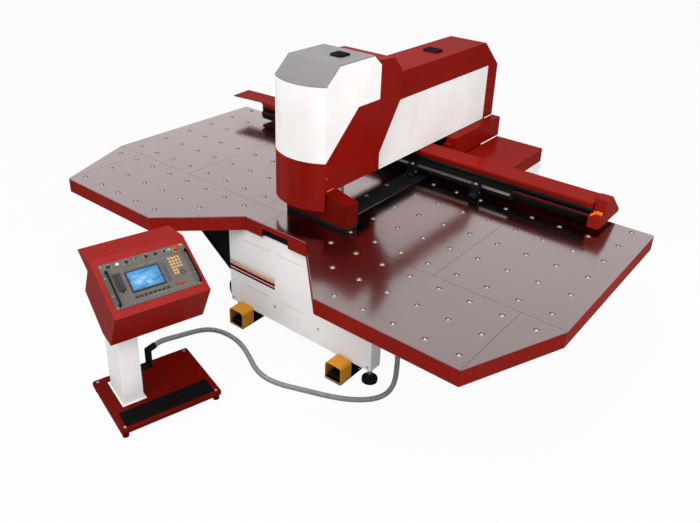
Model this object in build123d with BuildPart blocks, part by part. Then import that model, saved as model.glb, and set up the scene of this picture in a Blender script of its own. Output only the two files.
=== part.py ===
from build123d import *
import os
from math import asin, cos, degrees, radians, sin, tan

# A turret punch press: a cut-corner ball table on a C-shaped frame, a punching head over it,
# a gauge beam with sheet clamps, two foot pedals and a console that stands in front
os.makedirs("parts", exist_ok=True)

# Table, in plan: x runs along the gauge beam, y from the front notch to the back
TABLE_TOP = 850
TABLE_HALF = 1920
TABLE_REAR = 1605
WING_REACH = 440
WING_CORNER_X = 1655
WING_SEAM_Y = 200
MOUTH_X = 720
NOTCH_X = 270
PLATE = 6
SEAM = 2
PANEL_SEAM_X = 1090
BRUSH_X = 275
CENTRE_X = 105
BRUSH_FRONT = 372
SKIRT_DEPTH = 105
SKIRT = 4
SLOT_X = 115
SLOT_DEPTH = 42
BEARER_W = 60
BEARER_REACH = 1685

# Ball transfers, by their pitch along and across the table
BALL_R = 20
BALL_CAP_R = 14
BALL_RISE = 6
BALL_PITCH = 200
BALL_START = 390
BALL_ROWS_REAR = (300, 550, 800, 1050, 1300, 1550)
BALL_ROWS_FRONT = (-345, -120, 105)

# Frame below and behind the table
FLOOR_GAP = 108
BASE_LEFT = -455
BASE_RIGHT = 810
BASE_FRONT = 15
BASE_DEPTH = 100
FRAME_HALF = 130
FRAME_WALL = 30
FRAME_LOW = 150
FRAME_REAR = 2500
THROAT_REAR = 1900
ARM_LOW = 232
ARM_HIGH = 800
ARM_FRONT = 690
THROAT_R = 60
GUSSET_REACH = 560
GUSSET_DROP = 395
GUSSET = 8
GUSSET_FLANGE = 45
FOOT_INSET = 35
FOOT_Y = 60
REAR_FOOT_X = 90
REAR_FOOT_Y = 2325
FOOT_R = 52
FOOT_H = 45
STEM_R = 14

# Tooling on one upright axis
TOOL_Y = 560
RAM_R = 55
RAM_FIT = 0.05
RAM_HIGH = 640
RAM_FLANGE = 22
TURRET_R = 95
TURRET_LOW = 62
TURRET_HIGH = 200
STATIONS = 6
STATION_R = 62
PUNCH_R = 14
TIP_R = 9
PUNCH_TIP = 30
SPIGOT_R = 20
SPIGOT_CAP_R = 30
SPIGOT_LOW = 112
SPIGOT_CAP = 8
DIE_R = 95
DIE_DEPTH = 60
DIE_GAP = 2
DIE_BORE = 10
DIE_SINK = 0.5
SPINDLE_R = 30
SPINDLE = 40
SEAT_R = 125

# Head covers, heights above the table top
HEAD_HALF = 215
HEAD_NOSE = 165
BOW_STEPS = 5
HEAD_SIDE = 240
HEAD_BACK = 800
HEAD_LOW = 105
HEAD_SIDE_LOW = 225
HEAD_EDGE = 945
HEAD_TOP = 1055
HEAD_SLOPE = 366
HEAD_TOP_BACK = 715
HEAD_CHAMFER = 985
WHITE_LOW = 442
WHITE_KNEE_Y = 569
WHITE_KNEE = 742
SHEET = 4
LIP = 7
REAR_TOP = 1008
REAR_BACK = 1045
GUARD_LEFT = -135
GUARD_RIGHT = 388
GUARD_FRONT = 262
GUARD_BACK = 374
GUARD_LOW = 28
GUARD_END = 185
BRUSH_GAP = 10

# Arm cover, heights above the table top
ARM_HALF = 168
ARM_COVER_LOW = 190
ARM_COVER_TOP = 860
ARM_COVER_FRONT = 826
ARM_COVER_REAR = 2560
PANEL = 3

# Gauge beam, as the photograph shows it, heights above the table top
BEAM_LEFT = -1515
BEAM_RIGHT = 1545
BEAM_FRONT = 1420
BEAM_BACK = 1742
BEAM_LOW = 30
BEAM_TOP = 176
COVER_TOP = 185
COVER_LEFT = -1830
COVER_FRONT = 1408
COVER_BACK = 1600
CAP_RIGHT = 1625
CAP_FRONT = 1366
CAP_TOP = 205
RAIL_MID = 80
RAIL_HEAD = 20
RAIL_NECK = 10
RAIL_FRONT = 1396
RAIL_LIP = 8
SLIDE_GAP = 0.3
ROD_X = 215
ROD_W = 50
ROD_H = 90
ROD_LOW = 60
ROD_REAR = 2495
GUIDE_FRONT = 1800
GUIDE_HIGH = 188
GUIDE_OUT = 255
CARRIAGE_LEFT = 20
CARRIAGE_RIGHT = 985
CARRIAGE_FRONT = 1362
CARRIAGE_BACK = 1416
CARRIAGE_LOW = 42
CARRIAGE_HIGH = 112
BAR = 16
BAR_MID = 88
BAR_WEB = 4
BAR_GAP = 6
CLAMPS_X = (177, 727)
CLAMP_HALF = 32
CHEEK = 9
CLAMP_FRONT = 1292
JAW_TIP = 1272
JAW_GAP = 6
JAW_LOW = 7
PIN_Y = 1326
PIN_UP = 42
PIN_R = 5

# Rear cabinet
CABINET_LEFT = 262
CABINET_RIGHT = 690
CABINET_FRONT = 1900
CABINET_REAR = 2528
CABINET_TOP = 16
PLINTH = 60
DOOR = 20

# Pedals
PEDALS = ((-296, -96), (605, -109))
PEDAL_HALF = 65
HOOD_DEPTH = 110
HOOD_TOP = 130
HOOD = 3
PEDAL_DEPTH = 226
SWITCH_H = 62
PEDAL_PLATE = 8
TREADLE_HALF = 50
TREADLE_PIN = 92
TREADLE_PIN_UP = 40
TREADLE_PIN_R = 5

# Console, turned about its own upright axis
CONSOLE_X = -140
CONSOLE_Y = -908
CONSOLE_TURN = 74.5
FOOT_PLATE_W = 626
FOOT_PLATE_D = 518
FOOT_PLATE_LOW = 36
FOOT_PLATE_TOP = 60
COLUMN_LEFT = -222
COLUMN_W = 120
COLUMN_FRONT = -54
COLUMN_D = 236
BOX_LEFT = -300
BOX_RIGHT = 240
BOX_TILT = 28
BOX_CREST_Y = -342
BOX_CREST_Z = 866
BOX_RUN = 388
BOX_BOTTOM_Z = 626
RACK_W = 482.6
RACK_H = 290
RACK_MID = -28
RACK_LOW = 50

# Controls in a row across the console's panel
ROW = 316
KNOBS = (-222, -121, -10, 45)
BUTTONS = (-172, -68, 125)
KEY_X = 96
STOP = (162, 308)
KNOB_R = 12
BUTTON_R = 8

# Hose and cable
HOSE_R = 17
FITTING_R = 20
CABLE_R = 8

# The model's origin lies under the middle of the whole machine, so the depth is worked out first
tilt = radians(BOX_TILT)
turn = radians(CONSOLE_TURN)
half_w = FOOT_PLATE_W / 2
half_d = FOOT_PLATE_D / 2
console_corners = [(x, y) for x in (-half_w, half_w) for y in (-half_d, half_d)]
console_corners += [(BOX_LEFT, BOX_CREST_Y), (BOX_RIGHT, BOX_CREST_Y)]
FRONT_END = min(CONSOLE_Y + x * sin(turn) + y * cos(turn) for x, y in console_corners)
Y_MID = (FRONT_END + ARM_COVER_REAR) / 2

MACHINE = Plane(origin=(0, -Y_MID, 0), x_dir=(1, 0, 0), z_dir=(0, 0, 1))
CONSOLE = Plane(
    origin=(CONSOLE_X, CONSOLE_Y - Y_MID, 0), x_dir=(cos(turn), sin(turn), 0), z_dir=(0, 0, 1)
)
FACE = Plane(
    origin=CONSOLE.from_local_coords((0, BOX_CREST_Y, BOX_CREST_Z)),
    x_dir=CONSOLE.x_dir,
    z_dir=CONSOLE.y_dir * -sin(tilt) + Vector(0, 0, cos(tilt)),
)
BEARER_TOP = TABLE_TOP - PLATE
BEARER_LOW = TABLE_TOP - SKIRT_DEPTH
BASE_REAR = BASE_FRONT + BASE_DEPTH


def up(height):
    """Height above the floor of a point so far above the table top."""
    return TABLE_TOP + height


def across(frame, x):
    """Plane at x whose sketch axes are y and z of a frame."""
    return Plane(frame.from_local_coords((x, 0, 0)), x_dir=frame.y_dir, z_dir=frame.x_dir)


def along(frame, y):
    """Plane at y whose sketch axes are x and z of a frame, facing its front."""
    return Plane(frame.from_local_coords((0, y, 0)), x_dir=frame.x_dir, z_dir=frame.y_dir * -1)


def level(frame, z):
    """Level plane at z whose sketch axes are x and y of a frame."""
    return Plane(frame.from_local_coords((0, 0, z)), x_dir=frame.x_dir, z_dir=frame.z_dir)


def block(x0, x1, y0, y1, z0, z1, mode=Mode.ADD):
    """Box between two corners, in the frame of the part being built."""
    with Locations(((x0 + x1) / 2, (y0 + y1) / 2, (z0 + z1) / 2)):
        Box(abs(x1 - x0), abs(y1 - y0), abs(z1 - z0), mode=mode)


def post(x, y, z0, z1, radius, mode=Mode.ADD):
    """Upright round bar."""
    with Locations((x, y, (z0 + z1) / 2)):
        Cylinder(radius, z1 - z0, mode=mode)


def facet_post(x, y, z0, z1, radius, sides, mode=Mode.ADD):
    """Upright many-sided bar inside a radius, or a many-sided hole round it."""
    with BuildSketch(Plane.XY) as profile:
        RegularPolygon(radius, sides, major_radius=mode is Mode.ADD)
    bar = extrude(profile.sketch, amount=z1 - z0, mode=Mode.PRIVATE)
    with Locations((x, y, z0)):
        add(bar, mode=mode)


def bar_x(x0, x1, y, z, radius, mode=Mode.ADD):
    """Pin along x with flats, or a hole round one."""
    with BuildSketch(Plane.XY) as profile:
        RegularPolygon(radius, 12, major_radius=mode is Mode.ADD)
    bar = extrude(profile.sketch, amount=abs(x1 - x0), mode=Mode.PRIVATE)
    with Locations(Location((min(x0, x1), y, z), (0, 90, 0))):
        add(bar, mode=mode)


def bar_y(x, y0, y1, z, radius, mode=Mode.ADD):
    """Pin along y with flats, or a hole round one."""
    with BuildSketch(Plane.XY) as profile:
        RegularPolygon(radius, 12, major_radius=mode is Mode.ADD)
    bar = extrude(profile.sketch, amount=y1 - y0, mode=Mode.PRIVATE)
    with Locations(Location((x, y0, z), (-90, 0, 0))):
        add(bar, mode=mode)


def outline(plane, points):
    """Closed outline through points, as a face on a plane."""
    with BuildSketch(plane) as profile:
        with BuildLine():
            Polyline(*points, close=True)
        make_face()
    return profile.sketch


def prism_x(frame, points, x0, x1, mode=Mode.ADD):
    """Profile in y and z, drawn out from x0 to x1."""
    extrude(outline(across(frame, x0), points), amount=x1 - x0, mode=mode)


def prism_y(frame, points, y0, y1, mode=Mode.ADD):
    """Profile in x and z, drawn out from y1 forward to y0."""
    extrude(outline(along(frame, y1), points), amount=y1 - y0, mode=mode)


def prism_z(frame, points, z0, z1, mode=Mode.ADD):
    """Profile in x and y, drawn up from z0 to z1."""
    extrude(outline(level(frame, z0), points), amount=z1 - z0, mode=mode)


def c_face(plane, inset):
    """Side view of the C-shaped frame, drawn in by an inset."""
    points = [
        (BASE_REAR, FRAME_LOW),
        (BASE_REAR, BEARER_LOW),
        (THROAT_REAR, BEARER_LOW),
        (THROAT_REAR, up(ARM_LOW)),
        (ARM_FRONT, up(ARM_LOW)),
        (ARM_FRONT, up(ARM_HIGH)),
        (FRAME_REAR - 210, up(ARM_HIGH)),
        (FRAME_REAR, up(ARM_HIGH - 200)),
        (FRAME_REAR, FRAME_LOW),
    ]
    with BuildSketch(plane) as side:
        with BuildLine():
            Polyline(*points, close=True)
        make_face()
        if inset:
            offset(amount=-inset, kind=Kind.INTERSECTION, mode=Mode.REPLACE)
        else:
            chamfer([v for v in vertices() if abs(v.X - THROAT_REAR) < 1], length=THROAT_R)
    return side.sketch


with BuildPart(MACHINE) as c_frame:
    extrude(c_face(across(MACHINE, -FRAME_HALF), 0), amount=2 * FRAME_HALF)
    inner = FRAME_HALF - FRAME_WALL
    extrude(c_face(across(MACHINE, -inner), FRAME_WALL), amount=2 * inner, mode=Mode.SUBTRACT)
    seat_top = up(-DIE_DEPTH) - SLIDE_GAP
    facet_post(0, TOOL_Y, BEARER_LOW, seat_top, SEAT_R, 24)
    post(0, TOOL_Y, seat_top - SPINDLE - 10, seat_top, SPINDLE_R + RAM_FIT, mode=Mode.SUBTRACT)
    for side in (-1, 1):
        for y, z in ((730, 330), (730, 670), (730, 768)):
            block(side * FRAME_HALF, side * (HEAD_HALF - SHEET), y - 25, y + 25, up(z) - 22, up(z) + 22)
        for y, z in ((1200, 300), (1200, 780), (2250, 300), (2250, 600)):
            block(side * FRAME_HALF, side * (ARM_HALF - SHEET), y - 25, y + 25, up(z) - 25, up(z) + 25)
        for y in (1990, 2440):
            block(side * FRAME_HALF, side * (ROD_X - ROD_W), y - 40, y + 40, up(60), up(150))
    block(FRAME_HALF, CABINET_LEFT, 2200, 2300, 600, 660)

with BuildPart(MACHINE) as front_base:
    block(BASE_LEFT, BASE_RIGHT, BASE_FRONT, BASE_REAR, FLOOR_GAP, BEARER_LOW)
    block(
        BASE_LEFT + 6, BASE_RIGHT - 6, BASE_FRONT + 6, BASE_REAR - 6, FLOOR_GAP + 6, BEARER_LOW - 6,
        mode=Mode.SUBTRACT,
    )
    bar_x(BASE_LEFT - 12, BASE_LEFT, BASE_FRONT + 50, 222, 15)

with BuildPart(MACHINE) as wing_gussets:
    for side, root in ((-1, BASE_LEFT), (1, BASE_RIGHT)):
        tip = root + side * GUSSET_REACH
        low = BEARER_LOW - GUSSET_DROP
        wedge = [(root, low), (root, BEARER_LOW), (tip, BEARER_LOW)]
        prism_y(MACHINE, wedge, BASE_FRONT + 15, BASE_FRONT + 15 + GUSSET)
        strip = [
            (root, low),
            (tip, BEARER_LOW),
            (tip - side * 2 * GUSSET, BEARER_LOW),
            (root, low + 1.5 * GUSSET),
        ]
        prism_y(MACHINE, strip, BASE_FRONT, BASE_FRONT + GUSSET_FLANGE)

with BuildPart(MACHINE) as table_bearers:
    half = BEARER_W / 2
    for y in (60, 1530):
        block(-BEARER_REACH, BEARER_REACH, y - half, y + half, BEARER_LOW, BEARER_TOP)
    for side in (-1, 1):
        block(side * 740, side * 1640, -400, -400 + BEARER_W, BEARER_LOW, BEARER_TOP)
        for x, front in ((BRUSH_X, 30), (PANEL_SEAM_X, -400), (WING_CORNER_X, -350)):
            block(side * (x - half), side * (x + half), front, 1590, BEARER_LOW, BEARER_TOP)

with BuildPart(MACHINE) as floor_feet:
    feet = [(x, FOOT_Y, FLOOR_GAP) for x in (BASE_LEFT + FOOT_INSET, BASE_RIGHT - FOOT_INSET)]
    feet += [(x, REAR_FOOT_Y, FRAME_LOW) for x in (-REAR_FOOT_X, REAR_FOOT_X)]
    for x, y, top in feet:
        facet_post(x, y, 0, FOOT_H / 2, FOOT_R, 20)
        facet_post(x, y, FOOT_H / 2, FOOT_H, STEM_R + 12, 6)
        facet_post(x, y, FOOT_H, top, STEM_R, 12)


def wing_outline(side):
    """Edge of one wing of the table, from the notch round to the back."""
    return [
        (side * SLOT_X, 0),
        (side * NOTCH_X, 0),
        (side * MOUTH_X, -WING_REACH),
        (side * WING_CORNER_X, -WING_REACH),
        (side * TABLE_HALF, WING_SEAM_Y),
        (side * TABLE_HALF, TABLE_REAR),
        (side * SLOT_X, TABLE_REAR),
    ]


def table_wing(side):
    """Top plates of one wing, each a loose sheet with a seam round it."""
    gap = SEAM / 2
    lean = (TABLE_HALF - WING_CORNER_X) / (WING_REACH + WING_SEAM_Y)
    sheets = [
        [(BRUSH_X + gap, WING_SEAM_Y + gap), (PANEL_SEAM_X - gap, WING_SEAM_Y + gap),
         (PANEL_SEAM_X - gap, TABLE_REAR), (BRUSH_X + gap, TABLE_REAR)],
        [(PANEL_SEAM_X + gap, WING_SEAM_Y + gap), (TABLE_HALF, WING_SEAM_Y + gap),
         (TABLE_HALF, TABLE_REAR), (PANEL_SEAM_X + gap, TABLE_REAR)],
        [(CENTRE_X + gap, 0), (NOTCH_X, 0), (MOUTH_X, -WING_REACH), (WING_CORNER_X - gap, -WING_REACH),
         (WING_CORNER_X - gap, WING_SEAM_Y - gap), (CENTRE_X + gap, WING_SEAM_Y - gap)],
        [(WING_CORNER_X + gap, gap / lean - WING_REACH), (TABLE_HALF - lean * gap, WING_SEAM_Y - gap),
         (WING_CORNER_X + gap, WING_SEAM_Y - gap)],
        [(CENTRE_X + gap, WING_SEAM_Y + gap), (BRUSH_X - gap, WING_SEAM_Y + gap),
         (BRUSH_X - gap, BRUSH_FRONT - gap), (CENTRE_X + gap, BRUSH_FRONT - gap)],
    ]
    for points in sheets:
        prism_z(MACHINE, [(side * x, y) for x, y in points], BEARER_TOP, TABLE_TOP)


with BuildPart() as table_plates:
    table_wing(-1)
    table_wing(1)

with BuildPart(MACHINE) as centre_plate:
    block(SEAM / 2 - CENTRE_X, CENTRE_X - SEAM / 2, 0, TABLE_REAR, BEARER_TOP, TABLE_TOP)
    facet_post(0, TOOL_Y, BEARER_TOP, TABLE_TOP, DIE_R + DIE_GAP, 36, mode=Mode.SUBTRACT)

with BuildPart(MACHINE) as brush_panels:
    for side in (-1, 1):
        block(
            side * (CENTRE_X + SEAM / 2), side * (BRUSH_X - SEAM / 2), BRUSH_FRONT + SEAM / 2, TABLE_REAR,
            BEARER_TOP, TABLE_TOP,
        )


def skirt(side):
    """Red apron under the edge of one wing."""
    with BuildSketch(level(MACHINE, BEARER_LOW)) as ring:
        with BuildLine():
            Polyline(*wing_outline(side), close=True)
        make_face()
        offset(amount=-SKIRT, kind=Kind.INTERSECTION, mode=Mode.SUBTRACT)
        with Locations((side * SLOT_X, TABLE_REAR / 2)):
            Rectangle(3 * SKIRT, TABLE_REAR - 2 * SKIRT, mode=Mode.SUBTRACT)
        if side > 0:
            with Locations((side * SLOT_X, TABLE_REAR)):
                Rectangle(2 * (FRAME_HALF - SLOT_X), 3 * SKIRT, mode=Mode.SUBTRACT)
    extrude(ring.sketch, amount=BEARER_TOP - BEARER_LOW)


with BuildPart(MACHINE) as table_skirts:
    skirt(-1)
    skirt(1)
    block(-SLOT_X, SLOT_X, 0, SKIRT, TABLE_TOP - SLOT_DEPTH, BEARER_TOP)


def inside_front(x, y):
    """True where a ball fits on the cut-back front of a wing."""
    past_notch = x - NOTCH_X + (y if y < 0 else 0) * (MOUTH_X - NOTCH_X) / WING_REACH > 2.5 * BALL_R
    before_corner = x < WING_CORNER_X - 2 * BALL_R or y > 0 and x < TABLE_HALF - 4 * BALL_R
    return past_notch and before_corner


with BuildPart() as one_ball:
    with BuildSketch():
        RegularPolygon(BALL_CAP_R, 6)
    extrude(amount=BALL_RISE, taper=50)

with BuildPart(MACHINE) as ball_transfers:
    columns = [BALL_START + BALL_PITCH * k for k in range(8)]
    spots = [(x, y) for x in columns for y in BALL_ROWS_REAR]
    spots += [(x, y) for x in columns for y in BALL_ROWS_FRONT if inside_front(x, y)]
    with Locations(*[(side * x, y, TABLE_TOP) for side in (-1, 1) for x, y in spots]):
        add(one_ball.part)


def bow(half, side, nose):
    """Points along the head's bowed front, from its left side to its right side."""
    rise = side - nose
    radius = (half**2 + rise**2) / (2 * rise)
    span = degrees(asin(half / radius))
    turns = [radians(span * k / BOW_STEPS) for k in range(-BOW_STEPS, BOW_STEPS + 1)]
    return [(radius * sin(t), nose + radius * (1 - cos(t))) for t in turns]


def head_plan(z, inset, back):
    """Plan of the head at a height: straight sides and back, and a bowed front."""
    half = HEAD_HALF - inset
    with BuildSketch(level(MACHINE, z)) as plan:
        with BuildLine():
            Line((half, HEAD_SIDE + inset), (half, back))
            Line((half, back), (-half, back))
            Line((-half, back), (-half, HEAD_SIDE + inset))
            Polyline(*bow(half, HEAD_SIDE + inset, HEAD_NOSE + inset))
        make_face()
    return plan.sketch


def head_form(inset, reach):
    """Outer form of the head: a bowed front to a level ledge, then a slope, a flat top and a chamfer."""
    back = HEAD_BACK + reach
    half = HEAD_HALF - inset
    edge = up(HEAD_EDGE) - inset
    top = up(HEAD_TOP) - inset
    low = up(HEAD_LOW) - reach
    ease = 0.375 * inset
    fall = (HEAD_TOP - HEAD_CHAMFER) / (HEAD_BACK - HEAD_TOP_BACK)
    hood = [
        (HEAD_SIDE + ease, edge),
        (HEAD_SLOPE + ease, top),
        (HEAD_TOP_BACK - ease, top),
        (back, top - fall * (back - HEAD_TOP_BACK + ease)),
        (back, edge),
    ]
    with BuildPart() as form:
        extrude(head_plan(low, inset, back), amount=edge - low)
        prism_x(MACHINE, hood, -half, half)
    return form.part


head_shell = head_form(0, 0) - head_form(SHEET, 5)
grey_edge = [
    (HEAD_SIDE + 1, up(HEAD_EDGE - LIP)),
    (370, up(1047)),
    (HEAD_TOP_BACK + 3, up(1047)),
    (HEAD_BACK, up(HEAD_CHAMFER - 8)),
]
red_edge = [(248, up(WHITE_LOW)), (WHITE_KNEE_Y, up(WHITE_KNEE)), (HEAD_BACK, up(WHITE_KNEE))]


def head_cover(points):
    """One sheet of the head's covers, cut from the shell by an outline in side view."""
    prism_x(MACHINE, points, -HEAD_HALF - 20, HEAD_HALF + 20)
    add(head_shell, mode=Mode.INTERSECT)


with BuildPart() as head_top_cover:
    head_cover([(90, up(HEAD_EDGE - LIP))] + grey_edge + [(HEAD_BACK, up(1200)), (90, up(1200))])

with BuildPart() as head_front_cover:
    head_cover([(90, up(WHITE_LOW))] + red_edge + grey_edge[::-1] + [(90, up(HEAD_EDGE - LIP))])

with BuildPart() as head_lower_cover:
    nose = [(90, up(HEAD_LOW)), (252, up(HEAD_LOW)), (252, up(HEAD_SIDE_LOW)), (HEAD_BACK, up(HEAD_SIDE_LOW))]
    head_cover(nose + red_edge[::-1] + [(90, up(WHITE_LOW))])

arm_side = [
    (ARM_COVER_FRONT, up(ARM_COVER_LOW)),
    (ARM_COVER_FRONT, up(ARM_COVER_TOP)),
    (2316, up(ARM_COVER_TOP)),
    (ARM_COVER_REAR, up(640)),
    (ARM_COVER_REAR, up(ARM_COVER_LOW)),
]

with BuildPart(MACHINE) as arm_cover:
    prism_x(MACHINE, arm_side, -ARM_HALF, ARM_HALF)
    with BuildSketch(across(MACHINE, SHEET - ARM_HALF)) as hollow:
        with BuildLine():
            Polyline(*arm_side, close=True)
        make_face()
        offset(amount=-SHEET, kind=Kind.INTERSECTION, mode=Mode.REPLACE)
    inner = ARM_HALF - SHEET
    extrude(hollow.sketch, amount=2 * inner, mode=Mode.SUBTRACT)
    block(
        -inner, inner, ARM_COVER_FRONT - 1, ARM_COVER_REAR - SHEET,
        up(ARM_COVER_LOW) - 1, up(ARM_COVER_LOW) + 6, mode=Mode.SUBTRACT,
    )
    block(
        -inner, inner, ARM_COVER_FRONT - 1, ARM_COVER_FRONT + 6,
        up(ARM_COVER_LOW), up(ARM_COVER_TOP) - SHEET, mode=Mode.SUBTRACT,
    )

with BuildPart() as arm_side_panels:
    sheet = [
        (1110, up(655)),
        (2390, up(655)),
        (2390, up(ARM_COVER_LOW)),
        (890, up(ARM_COVER_LOW)),
        (882, up(320)),
    ]
    prism_x(MACHINE, sheet, ARM_HALF, ARM_HALF + PANEL)
    prism_x(MACHINE, sheet, -ARM_HALF - PANEL, -ARM_HALF)

with BuildPart(MACHINE) as head_rear_cover:
    hump = [
        (HEAD_BACK, up(HEAD_SIDE_LOW)),
        (825, up(HEAD_SIDE_LOW + 10)),
        (822, up(345)),
        (REAR_BACK, up(690)),
        (REAR_BACK - 6, up(905)),
        (REAR_BACK - 100, up(REAR_TOP - 8)),
        (HEAD_BACK, up(REAR_TOP)),
    ]
    prism_x(MACHINE, hump, -HEAD_HALF, HEAD_HALF)
    with BuildSketch(across(MACHINE, SHEET - HEAD_HALF)) as hollow:
        with BuildLine():
            Polyline(*hump, close=True)
        make_face()
        offset(amount=-SHEET, kind=Kind.INTERSECTION, mode=Mode.REPLACE)
    extrude(hollow.sketch, amount=2 * (HEAD_HALF - SHEET), mode=Mode.SUBTRACT)
    side_in = HEAD_HALF - SHEET
    block(
        -side_in, side_in, HEAD_BACK - 1, HEAD_BACK + 6, up(HEAD_SIDE_LOW) + SHEET + 2, up(HEAD_CHAMFER) - 12,
        mode=Mode.SUBTRACT,
    )
    block(
        -ARM_HALF, ARM_HALF, ARM_COVER_FRONT, REAR_BACK + 5, up(ARM_COVER_LOW), up(ARM_COVER_TOP),
        mode=Mode.SUBTRACT,
    )
    frame_in = FRAME_HALF + 1
    block(-frame_in, frame_in, HEAD_BACK + 4, 850, up(ARM_LOW) - 1, up(ARM_COVER_TOP), mode=Mode.SUBTRACT)

with BuildPart() as tool_guard:
    front = [
        (GUARD_LEFT, up(GUARD_LOW)),
        (GUARD_RIGHT, up(GUARD_LOW)),
        (GUARD_RIGHT, up(GUARD_END)),
        (HEAD_HALF, up(HEAD_SIDE_LOW)),
        (GUARD_LEFT, up(HEAD_SIDE_LOW)),
    ]
    prism_y(MACHINE, front, GUARD_FRONT, GUARD_BACK)
    back = [
        (GUARD_LEFT + SHEET, up(GUARD_LOW) - 1),
        (GUARD_RIGHT - SHEET, up(GUARD_LOW) - 1),
        (GUARD_RIGHT - SHEET, up(GUARD_END) - SHEET),
        (HEAD_HALF, up(HEAD_SIDE_LOW) - SHEET),
        (GUARD_LEFT + SHEET, up(HEAD_SIDE_LOW) - SHEET),
    ]
    prism_y(MACHINE, back, GUARD_FRONT + SHEET, GUARD_BACK + 1, mode=Mode.SUBTRACT)

with BuildPart(MACHINE) as guard_brush:
    block(GUARD_LEFT, GUARD_RIGHT, GUARD_FRONT, GUARD_BACK, up(BRUSH_GAP), up(GUARD_LOW))
    block(
        GUARD_LEFT + 10, GUARD_RIGHT - 10, GUARD_FRONT + 10, GUARD_BACK + 1,
        up(BRUSH_GAP) - 1, up(GUARD_LOW) + 1, mode=Mode.SUBTRACT,
    )

with BuildPart(MACHINE) as ram_housing:
    block(-120, 120, TOOL_Y - FRAME_HALF, ARM_FRONT, up(ARM_LOW), up(760))
    facet_post(0, TOOL_Y, up(760), up(960), 90, 24)
    block(-60, 60, GUARD_FRONT + 20, TOOL_Y - FRAME_HALF + 30, up(HEAD_SIDE_LOW), up(ARM_LOW) + 20)
    post(0, TOOL_Y, up(ARM_LOW) - 20, up(RAM_HIGH + 20), RAM_R + RAM_FIT, mode=Mode.SUBTRACT)
    post(0, TOOL_Y, up(HEAD_SIDE_LOW) - 1, up(ARM_LOW), TURRET_R, mode=Mode.SUBTRACT)

with BuildPart(MACHINE) as ram:
    facet_post(0, TOOL_Y, up(TURRET_HIGH), up(TURRET_HIGH + RAM_FLANGE), 80, 24)
    post(0, TOOL_Y, up(TURRET_HIGH), up(RAM_HIGH), RAM_R)
    post(0, TOOL_Y, up(SPIGOT_LOW), up(TURRET_HIGH), SPIGOT_R)
    facet_post(0, TOOL_Y, up(SPIGOT_LOW), up(SPIGOT_LOW + SPIGOT_CAP), SPIGOT_CAP_R, 12)

with BuildPart() as punch_tip:
    facet_post(0, 0, 0, TURRET_LOW - PUNCH_TIP, TIP_R, 12)

with BuildPart() as punch_body:
    facet_post(0, 0, 0, TURRET_LOW - PUNCH_TIP - 14, PUNCH_R, 6)

with BuildPart() as die_bore:
    facet_post(0, 0, 0, DIE_DEPTH + 2, DIE_BORE / cos(radians(15)), 12)

with BuildPart(MACHINE) as turret_head:
    facet_post(0, TOOL_Y, up(TURRET_LOW), up(TURRET_HIGH) - SLIDE_GAP, TURRET_R, 24)
    chamfer(faces().filter_by(Axis.Z).edges(), length=4)
    post(0, TOOL_Y, up(TURRET_LOW), up(TURRET_HIGH), SPIGOT_R + RAM_FIT, mode=Mode.SUBTRACT)
    facet_post(
        0, TOOL_Y, up(TURRET_LOW), up(SPIGOT_LOW + SPIGOT_CAP) + SLIDE_GAP, SPIGOT_CAP_R + SLIDE_GAP, 24,
        mode=Mode.SUBTRACT,
    )
    with Locations((0, TOOL_Y, 0)):
        with PolarLocations(STATION_R, STATIONS):
            with Locations((0, 0, up(PUNCH_TIP))):
                add(punch_tip.part)
            with Locations((0, 0, up(PUNCH_TIP + 14))):
                add(punch_body.part)

with BuildPart(MACHINE) as die_disc:
    facet_post(0, TOOL_Y, up(-DIE_DEPTH), up(-DIE_SINK), DIE_R, 36)
    post(0, TOOL_Y, up(-DIE_DEPTH) - SPINDLE, up(-DIE_DEPTH), SPINDLE_R)
    with Locations((0, TOOL_Y, up(-DIE_DEPTH) - 1)):
        with PolarLocations(STATION_R, STATIONS):
            add(die_bore.part, mode=Mode.SUBTRACT)

with BuildPart(MACHINE) as top_vents:
    for x, y, z, w, d in ((57, 555, HEAD_TOP, 100, 110), (0, 1770, ARM_COVER_TOP, 130, 110)):
        block(x - w / 2, x + w / 2, y - d / 2, y + d / 2, up(z), up(z) + 14)
    chamfer(edges().filter_by(Axis.Z), length=12)

with BuildPart(MACHINE) as y_guides:
    for side in (-1, 1):
        inner = ROD_X - ROD_W + 10
        block(side * inner, side * GUIDE_OUT, GUIDE_FRONT, ARM_COVER_REAR - 4, up(20), up(GUIDE_HIGH))
        block(
            side * (inner + 3), side * (GUIDE_OUT - 3), GUIDE_FRONT + 100, ARM_COVER_REAR - 7, up(23),
            up(GUIDE_HIGH) - 3, mode=Mode.SUBTRACT,
        )
        fit = ROD_W / 2 + RAM_FIT
        block(
            side * (ROD_X - fit), side * (ROD_X + fit), GUIDE_FRONT - 1, GUIDE_FRONT + 101,
            up(ROD_LOW) - RAM_FIT, up(ROD_LOW + ROD_H) + RAM_FIT, mode=Mode.SUBTRACT,
        )

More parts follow.
